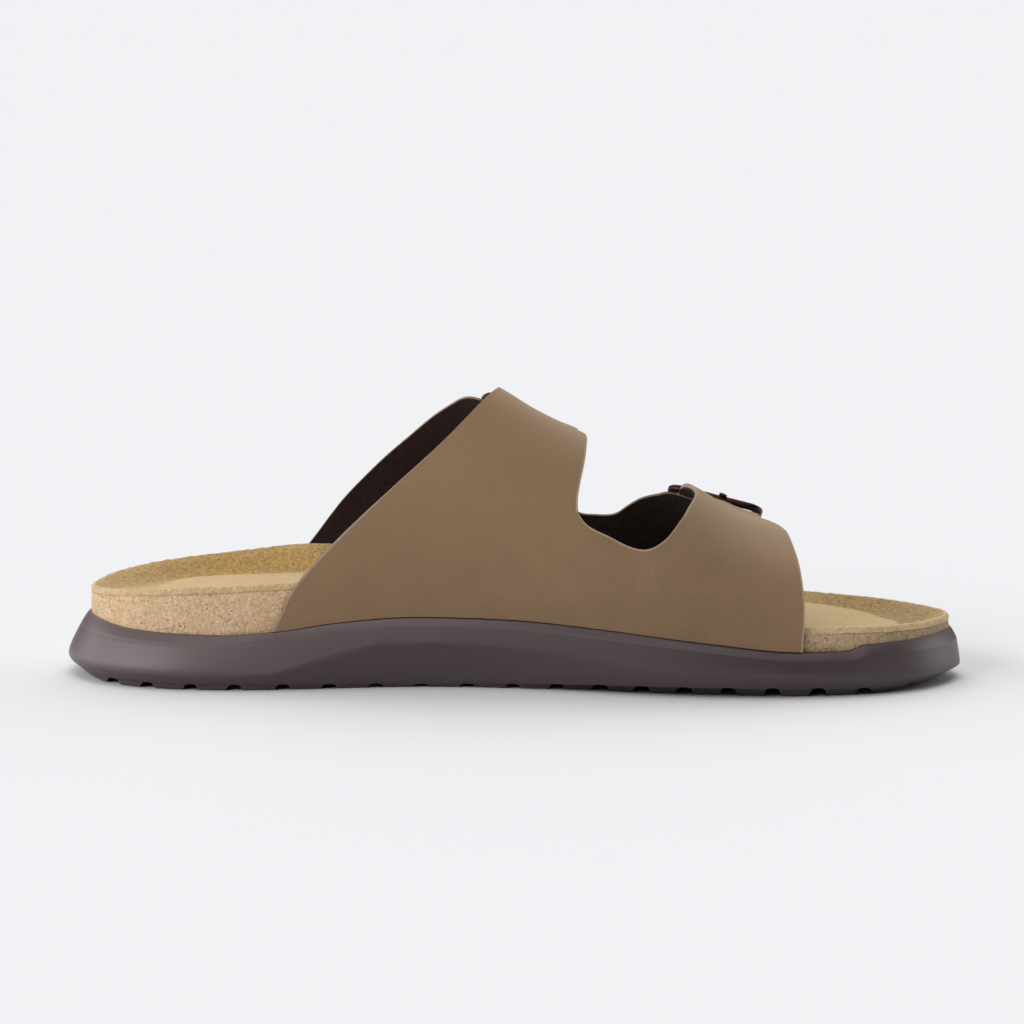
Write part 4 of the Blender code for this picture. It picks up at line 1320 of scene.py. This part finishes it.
class SANDAL_OT_cork(bpy.types.Operator):
    """Cork footbed under the sock"""

    bl_idname = "sandal.cork"
    bl_label = "Cork footbed"

    # Rings up its side, their bulge, where its top starts and rings on it
    SIDE_SHARES = (0.0, 0.2, 0.4, 0.6, 0.8, 0.95)
    BULGE = 0.25
    TOP_EDGE = 0.5
    TOP_SHARES = np.linspace(0.05, 1, 12)

    def execute(self, context):
        line = Outline(FOOTBED_COLUMNS)
        inset = SOLE_INSETS.at("footbed", line.station)
        low = line.side(SOLE_HEIGHTS, "well") + GAP
        drop = sizes().sock / MM + GAP
        top = footbed_ring(line, np.zeros(len(low)), drop)[:, 2]
        rings = [middle_ring(line, inset, low)]
        for share in self.SIDE_SHARES:
            bulge = self.BULGE * np.sin(np.pi * share)
            rings.append(np.column_stack([line.inset(inset - bulge), low + share * (top - low)]))
        rings.append(footbed_ring(line, np.full(len(low), self.TOP_EDGE), drop))
        for share in self.TOP_SHARES:
            rings.append(footbed_ring(line, share * spine_reach(line), drop))
        cork = weld(tube("cork_bed", rings))
        cork.data.materials.append(cork_finish())
        deliver(cork, "cork_footbed", smooth_below=40)
        return {"FINISHED"}


class SANDAL_OT_sock(bpy.types.Operator):
    """Suede sock with its napped rim and smooth pad"""

    bl_idname = "sandal.sock"
    bl_label = "Sock"

    # Section of its outer edge: out from the rim, and down as a share of its thickness; start of its top
    EDGE = ((0.1, 1.3), (0.14, 0.95), (0.1, 0.6), (0.0, 0.36), (-0.15, 0.17), (-0.45, 0.06), (-0.85, 0.0))
    RIM_START = 1.3

    # Rings on its underside, its rim and its pad, as shares of the way
    UNDER_SHARES = np.linspace(1, 0, 7)[:-1]
    RIM_SHARES = np.linspace(0, 1, 15)
    FLAT_SHARES = np.linspace(0.08, 1, 11)

    # Section of the pad's edge: further in, and up as a share of the step
    PAD_EDGE = ((0.25, 0.6), (0.7, 0.9), (1.6, 1.0))

    # Rings from the edge on that the nap makes uneven, its share along each way, and its seed
    ROUGH_RINGS = 12
    NAP_SHARE = 0.75
    NAP_SEED = 3

    def execute(self, context):
        line = Outline(SOCK_COLUMNS)
        thick = sizes().sock / MM
        step = sizes().pad_step / MM
        whole = spine_reach(line)
        pad = line.side(PAD, "edge")
        rings = [footbed_ring(line, share * whole, thick) for share in self.UNDER_SHARES]
        edge_row = len(rings)
        rim = footbed_ring(line, np.zeros(SOCK_COLUMNS), 0)
        for out, drop in self.EDGE:
            outer = rim.copy()
            outer[:, :2] += line.out * out
            outer[:, 2] -= drop * thick
            rings.append(outer)
        lip_row = len(rings)
        for share in self.RIM_SHARES:
            rings.append(footbed_ring(line, self.RIM_START + share * (pad - self.RIM_START), 0))
        rim_rows = len(rings) - 1
        for further, rise in self.PAD_EDGE:
            rings.append(footbed_ring(line, pad + further, -rise * step))
        flat = pad + self.PAD_EDGE[-1][0]
        for share in self.FLAT_SHARES:
            rings.append(footbed_ring(line, flat + share * (whole - flat), -step))
        rings = np.array(rings)
        fuzz = nap((self.ROUGH_RINGS, SOCK_COLUMNS), self.NAP_SEED)[..., None] * sizes().nap / MM
        ways = np.column_stack([line.out, np.ones(SOCK_COLUMNS)])
        rings[edge_row : edge_row + self.ROUGH_RINGS] += fuzz * ways * self.NAP_SHARE
        sock = tube("suede_sock", rings)
        rows = np.arange(len(rings) - 1)
        # The turned edge takes the paler lip finish, a painted highlight
        lip = 2 * ((rows >= edge_row) & (rows < lip_row))
        paint = np.repeat(np.where(rows >= rim_rows, 1, lip), SOCK_COLUMNS)
        for finish in (suede_finish(), pad_finish(), lit_lip_finish()):
            sock.data.materials.append(finish)
        sock.data.polygons.foreach_set("material_index", paint)
        weld(sock)
        deliver(sock, "insole", smooth_below=50)
        return {"FINISHED"}


def strip_paint(rows, base):
    """The finish of each face of a patch: 1 on the strips along the edges of the leather."""
    paint = np.zeros((rows.shape[0] - 1, rows.shape[1] - 1), int)
    paint[:, [0, -1]] = 1
    start = QUARTER_COLUMNS["rear"] if base else 0
    end = start + QUARTER_COLUMNS["notch"] if base else None
    paint[-1, start:end] = 1
    return paint.ravel()


def quarter_layer(name, last, patches, lift, keep, outward, finishes):
    """Sheet of one layer of a quarter on the last, with the share of the thickness that it keeps."""
    sheets = []
    for index, rows in enumerate(patches):
        x, w = rows[..., 0], rows[..., 1]
        sheet = grid(name, last.lifted(x, w, lift(x, w)))
        for finish in finishes:
            sheet.data.materials.append(finish)
        if len(finishes) > 1:
            sheet.data.polygons.foreach_set("material_index", strip_paint(rows, index == 0))
        sheets.append(sheet)
    weights = np.concatenate([keep(rows[..., 0], rows[..., 1]).ravel() for rows in patches])
    sheet = join(sheets)
    group = sheet.vertex_groups.new(name="thickness")
    for index, weight in enumerate(weights):
        group.add([index], float(weight), "REPLACE")
    merge(sheet)
    if not outward:
        edit(sheet, bpy.ops.mesh.flip_normals)
    return sheet


class SANDAL_OT_quarters(bpy.types.Operator):
    """Medial and lateral quarters with their straps, felt lining and punched holes"""

    bl_idname = "sandal.quarters"
    bl_label = "Quarters and straps"

    # Punches: height of their middle above the foot, length and sides; the prong's slot before the pivot
    PUNCH_HEIGHT = 3.0
    PUNCH_LENGTH = 14.0
    PUNCH_SIDES = 20
    SLOT_PLACE = 4.6

    def execute(self, context):
        last = Last()
        nubuck, buffed, felt = nubuck_finish(), cut_edge_finish(), felt_finish()
        medial, lateral = (nubuck, buffed, felt), (nubuck, nubuck, felt)
        patches = quarter_patches(last, "medial", MEDIAL_EDGES, rounded_end)
        self.build("medial_quarter", last, patches, tongue_lift, None, medial)
        patches = quarter_patches(last, "lateral", LATERAL_EDGES, straight_end)
        self.build("lateral_quarter", last, patches, None, tab_skive, lateral)
        return {"FINISHED"}

    def build(self, name, last, patches, rise, skive, finishes):
        size = sizes()
        outward = skive is None
        lining = size.strap_lining / MM

        def keep(x, w):
            return np.ones(np.shape(x)) if skive is None else skive(x, w)

        def inner(x, w):
            return creases(x, w) + (0 if rise is None else rise(x, w))

        def face_base(x, w):
            return inner(x, w) + lining * keep(x, w)

        face = quarter_layer(name, last, patches, face_base, keep, outward, finishes[:2])
        felt = quarter_layer(name + "_felt", last, patches, inner, keep, outward, finishes[2:])
        common = {"offset": 1.0, "vertex_group": "thickness"}
        modify(face, "SOLIDIFY", thickness=size.strap_face, material_offset_rim=1, **common)
        modify(felt, "SOLIDIFY", thickness=size.strap_lining, **common)
        if rise is not None:
            for layer in (face, felt):
                cut(layer, join(self.punches(last, finishes[1])))
        piece = join([face, felt])
        deliver(piece, "upper", smooth_below=42)

    def punches(self, last, finish):
        """Round punches through the tongues, for the prongs and the spare holes."""
        made = []
        for strap, size in STRAPS.items():
            for w in size["holes"] + (size["pivot"] - self.SLOT_PLACE,):
                heights = (self.PUNCH_HEIGHT, 2 * self.PUNCH_HEIGHT)
                points = place(last, strap, size["prong"], w, heights) * MM
                centre, far = (Vector(point) for point in points)
                punch = add(
                    bpy.ops.mesh.primitive_cylinder_add, "punch", vertices=self.PUNCH_SIDES,
                    radius=sizes().hole, depth=self.PUNCH_LENGTH * MM, location=centre,
                    rotation=(far - centre).to_track_quat("Z", "Y").to_euler(),
                )
                bpy.ops.object.transform_apply(location=True, rotation=True, scale=True)
                punch.data.materials.append(finish)
                made.append(punch)
        return made


def frame_path(size, count):
    """Round-cornered path of a buckle frame, along the foot and round it."""
    half = FRAME_HALF_WIDTH
    length = size["pivot"] - size["bar"]
    turn = np.radians(np.arange(0, 91, 3))
    corners = []
    for k, (u, w) in enumerate(((half, length), (-half, length), (-half, 0), (half, 0))):
        inward_w = FRAME_CORNER if w == 0 else -FRAME_CORNER
        centre = np.array([u - math.copysign(FRAME_CORNER, u), w + inward_w])
        angle = turn + k * np.pi / 2
        corners.append(centre + FRAME_CORNER * np.column_stack([np.cos(angle), np.sin(angle)]))
    closed = np.vstack(corners + [corners[0][:1]])
    return even(closed, count)[:-1]


class SANDAL_OT_buckles(bpy.types.Operator):
    """Buckle frames, prongs and the loops that hold them"""

    bl_idname = "sandal.buckles"
    bl_label = "Buckles"

    # Steps along and round: frames, prongs and loops
    PATH_STEPS = 160
    SECTION_STEPS = 20
    PRONG_STEPS = 90
    LOOP_STEPS = 40
    LOOP_SECTION_STEPS = 24

    # Frame: squareness of its section, from 1, round, to 0, and where it starts to turn to the round pivot
    FRAME_SQUARE = 0.62
    PIVOT_START = 0.8

    # Prong: turn, points and wall of its eye, shank from the pivot and up from the foot, point from the bar
    # and up from its rest on it, gap to the bar, half height and half width by share along it, squareness
    EYE_TURN = (-160, 100)
    EYE_POINTS = 14
    EYE_WALL = 0.4
    SHANK = ((-5.5, 5.15), (-10.0, 6.1))
    POINT = ((2.0, 0.0), (-1.4, 0.0), (-3.2, -0.25))
    REST_GAP = 0.1
    PRONG_HEIGHTS = ((0, 0.36), (0.35, 0.36), (0.5, 0.65), (0.95, 0.7), (0.985, 0.55), (1, 0.2))
    PRONG_WIDTHS = ((0, 1.2), (0.9, 1.2), (0.95, 1.3), (0.985, 1.0), (1, 0.4))
    PRONG_SQUARE = 0.7

    # Loops: turn round the pivot and squareness of their section across and through
    LOOP_TURN = (-55, 235)
    LOOP_SQUARE = (0.3, 0.6)

    def execute(self, context):
        last = Last()
        bronze = bronze_finish()
        nubuck = bpy.data.materials["nubuck_face"]
        for strap in STRAPS:
            self.build_frame(last, strap, bronze)
            self.build_prong(last, strap, bronze)
            self.build_loops(last, strap, nubuck)
        return {"FINISHED"}

    def build_frame(self, last, strap, bronze):
        size = STRAPS[strap]
        length = size["pivot"] - size["bar"]
        path = frame_path(size, self.PATH_STEPS)
        way = ways_out(path)
        turn = circle(self.SECTION_STEPS)[None]
        share = path[:, 1:] / length
        rounded = smooth_step((share - self.PIVOT_START) / (1 - self.PIVOT_START))
        wide = (1 - rounded) * FRAME_BAR / 2 + rounded * PIVOT_RADIUS
        thick = (1 - rounded) * FRAME_THICKNESS / 2 + rounded * PIVOT_RADIUS
        across, rise = squarish(turn, self.FRAME_SQUARE + (1 - self.FRAME_SQUARE) * rounded)
        out = wide * across
        upper_bar = size["bar_height"] + size["pitch"] * path[:, :1]
        centre = (1 - share) * upper_bar + share * PIVOT_HEIGHT
        along_w = out * way[:, 1:]
        u = path[:, :1] + out * way[:, :1] - size["slant"] * along_w
        points = place(last, strap, u, size["bar"] + path[:, 1:] + along_w, centre + thick * rise)
        ends = path[:, 0].min(), path[:, 0].max()
        chord = place(last, strap, ends, size["bar"], size["bar_height"] + size["pitch"] * np.array(ends))
        part = (path[:, :1] - ends[0]) / (ends[1] - ends[0])
        curved = place(last, strap, path[:, 0], size["bar"], upper_bar[:, 0])
        sag = (1 - part) * chord[0] + part * chord[1] - curved
        points = points + size["straight"] * ((1 - share) * sag)[:, None]
        steps = {"major_segments": self.PATH_STEPS, "minor_segments": self.SECTION_STEPS}
        piece = add(bpy.ops.mesh.primitive_torus_add, "frame_" + strap, **steps)
        settle(piece, points)
        weld(piece)
        piece.data.materials.append(bronze)
        deliver(piece, "buckle_frame_" + strap, smooth_below=60)

    def build_prong(self, last, strap, bronze):
        size = STRAPS[strap]
        rest = size["bar_height"] + FRAME_THICKNESS / 2 + self.REST_GAP + PRONG_THICKNESS / 2
        eye = np.radians(np.linspace(*self.EYE_TURN, self.EYE_POINTS))
        radius = LOOP_BORE_RADIUS + self.EYE_WALL
        loop = np.column_stack([size["pivot"] + radius * np.cos(eye), PIVOT_HEIGHT + radius * np.sin(eye)])
        shank = np.add(self.SHANK, (size["pivot"], 0))
        point = np.add(self.POINT, (size["bar"], rest))
        path = spline(np.vstack([loop, shank, point]))(np.linspace(0, 1, CURVE_POINTS))
        path = even(path, self.PRONG_STEPS)
        share = np.linspace(0, 1, len(path))
        tangent = unit(np.gradient(path, axis=0))
        thick = np.interp(share, *zip(*self.PRONG_HEIGHTS))[:, None]
        wide = np.interp(share, *zip(*self.PRONG_WIDTHS))[:, None]
        turn = circle(self.SECTION_STEPS)[None]
        across, rise = squarish(turn, self.PRONG_SQUARE)
        w = path[:, :1] - thick * rise * tangent[:, 1:]
        n = path[:, 1:] + thick * rise * tangent[:, :1]
        rings = place(last, strap, size["prong"] + wide * across, w, n)
        piece = capped("prong_" + strap, rings)
        piece.data.materials.append(bronze)
        deliver(piece, "buckle_prong_" + strap, smooth_below=60)

    def build_loops(self, last, strap, nubuck):
        """Strips of the tab folded over the pivot bar on both sides of the prong."""
        size = STRAPS[strap]
        turn = np.radians(np.linspace(*self.LOOP_TURN, self.LOOP_STEPS))[:, None]
        middle = (LOOP_OUTER_RADIUS + LOOP_BORE_RADIUS) / 2
        thick = (LOOP_OUTER_RADIUS - LOOP_BORE_RADIUS) / 2
        around = circle(self.LOOP_SECTION_STEPS)[None]
        across = squarish(around, self.LOOP_SQUARE[0])[0]
        radius = middle + thick * squarish(around, self.LOOP_SQUARE[1])[1]
        ahead = radius * np.cos(turn)
        strips = []
        for start, end in ((-LOOP_HALF_WIDTH, -PRONG_SLOT_HALF), (PRONG_SLOT_HALF, LOOP_HALF_WIDTH)):
            u = (start + end) / 2 + (end - start) / 2 * across - size["slant"] * ahead
            rings = place(last, strap, u, size["pivot"] + ahead, PIVOT_HEIGHT + radius * np.sin(turn))
            strips.append(capped("loop_" + strap, rings))
        piece = join(strips)
        piece.data.materials.append(nubuck)
        deliver(piece, "upper", smooth_below=45)


class SANDAL_OT_stage(bpy.types.Operator):
    """Pale floor, soft studio light and the camera"""

    bl_idname = "sandal.stage"
    bl_label = "Stage"

    FLOOR_SIZE = 60.0
    AIM = (-0.0003, 0.0, 0.0521)
    SENSOR_WIDTH = 36.0

    # Soft lights on the dome: azimuth from the camera's way, below zero to the left, elevation, half width
    # and strength
    LIGHTS = (
        (0.0, 50.0, 38.0, 1.55),
        (-75.0, 15.0, 20.0, 2.40),
        (70.0, 15.0, 22.0, 2.00),
        (-112.0, 24.0, 14.0, 4.80),
        (-140.0, 28.0, 11.0, 7.00),
        (180.0, 72.0, 26.0, 1.30),
    )

    # Where a light starts and where it is full, as shares of its half width
    SOFT_EDGE = (1.25, 0.6)

    def execute(self, context):
        stage = context.scene.sandal_stage
        context.scene.view_settings.view_transform = "Standard"
        self.floor(stage)
        self.dome(context.scene, stage)
        self.camera(context.scene, stage)
        return {"FINISHED"}

    def floor(self, stage):
        floor = add(bpy.ops.mesh.primitive_plane_add, "floor", size=self.FLOOR_SIZE)
        made = Finish("floor", {"Roughness": 0.9, "Specular IOR Level": 0.1})
        made.feed(made.shader.inputs["Base Color"], (*stage.floor, 1.0))
        floor.data.materials.append(made.material)

    def dome(self, scene, stage):
        world = bpy.data.worlds.new("dome")
        world.use_nodes = True
        scene.world = world
        made = Nodes(world.node_tree)
        background = world.node_tree.nodes["Background"]
        where = made.node("ShaderNodeTexCoord", {}, {}, "Generated")
        light = 0.0
        for azimuth, rise, half, strength in self.LIGHTS:
            turn = math.radians(azimuth)
            level = math.cos(math.radians(rise))
            way = (math.sin(turn) * level, math.cos(turn) * level, math.sin(math.radians(rise)))
            settings = {"operation": "DOT_PRODUCT"}
            near = made.node("ShaderNodeVectorMath", settings, {0: where, 1: way}, "Value")
            limits = [math.cos(math.radians(half * share)) for share in self.SOFT_EDGE]
            sockets = {"Value": near, "From Min": limits[0], "From Max": limits[1], "To Max": strength}
            light = made.node("ShaderNodeMapRange", {"interpolation_type": "SMOOTHSTEP"}, sockets) + light
        seen = made.node("ShaderNodeLightPath", {}, {}, "Is Camera Ray")
        made.feed(background.inputs["Color"], made.mix(seen, stage.dome, stage.floor))
        made.feed(background.inputs["Strength"], light * (1.0 - seen) + seen)

    def camera(self, scene, stage):
        rise = stage.camera_height
        where = Vector((0.0, -math.cos(rise), math.sin(rise))) * stage.camera_distance
        turn = (Vector(self.AIM) - where).to_track_quat("-Z", "Y").to_euler()
        camera = add(bpy.ops.object.camera_add, "camera", location=where, rotation=turn)
        camera.data.lens = stage.camera_lens
        camera.data.sensor_width = self.SENSOR_WIDTH
        scene.camera = camera


STEPS = (
    SANDAL_OT_outsole,
    SANDAL_OT_cork,
    SANDAL_OT_sock,
    SANDAL_OT_quarters,
    SANDAL_OT_buckles,
    SANDAL_OT_stage,
)


class SANDAL_PT_panel(bpy.types.Panel):
    """Lists the steps and settings in the sidebar"""

    bl_idname = "SANDAL_PT_panel"
    bl_label = "Double-buckle sandal"
    bl_space_type = "VIEW_3D"
    bl_region_type = "UI"
    bl_category = "Sandal"

    def draw(self, context):
        for step in STEPS:
            self.layout.operator(step.bl_idname)
        for group in (context.scene.sandal_sizes, context.scene.sandal_colours, context.scene.sandal_stage):
            box = self.layout.box()
            for name in group.__annotations__:
                box.prop(group, name)


GROUPS = {"sandal_sizes": SandalSizes, "sandal_colours": SandalColours, "sandal_stage": StageSettings}


def register():
    for made in (*GROUPS.values(), *STEPS, SANDAL_PT_panel):
        bpy.utils.register_class(made)
    for name, group in GROUPS.items():
        setattr(bpy.types.Scene, name, PointerProperty(type=group))


def unregister():
    for name in GROUPS:
        delattr(bpy.types.Scene, name)
    for made in (SANDAL_PT_panel, *reversed(STEPS), *GROUPS.values()):
        bpy.utils.unregister_class(made)


def main():
    register()
    bpy.ops.sandal.outsole()
    bpy.ops.sandal.cork()
    bpy.ops.sandal.sock()
    bpy.ops.sandal.quarters()
    bpy.ops.sandal.buckles()
    bpy.ops.sandal.stage()


if __name__ == "__main__":
    main()
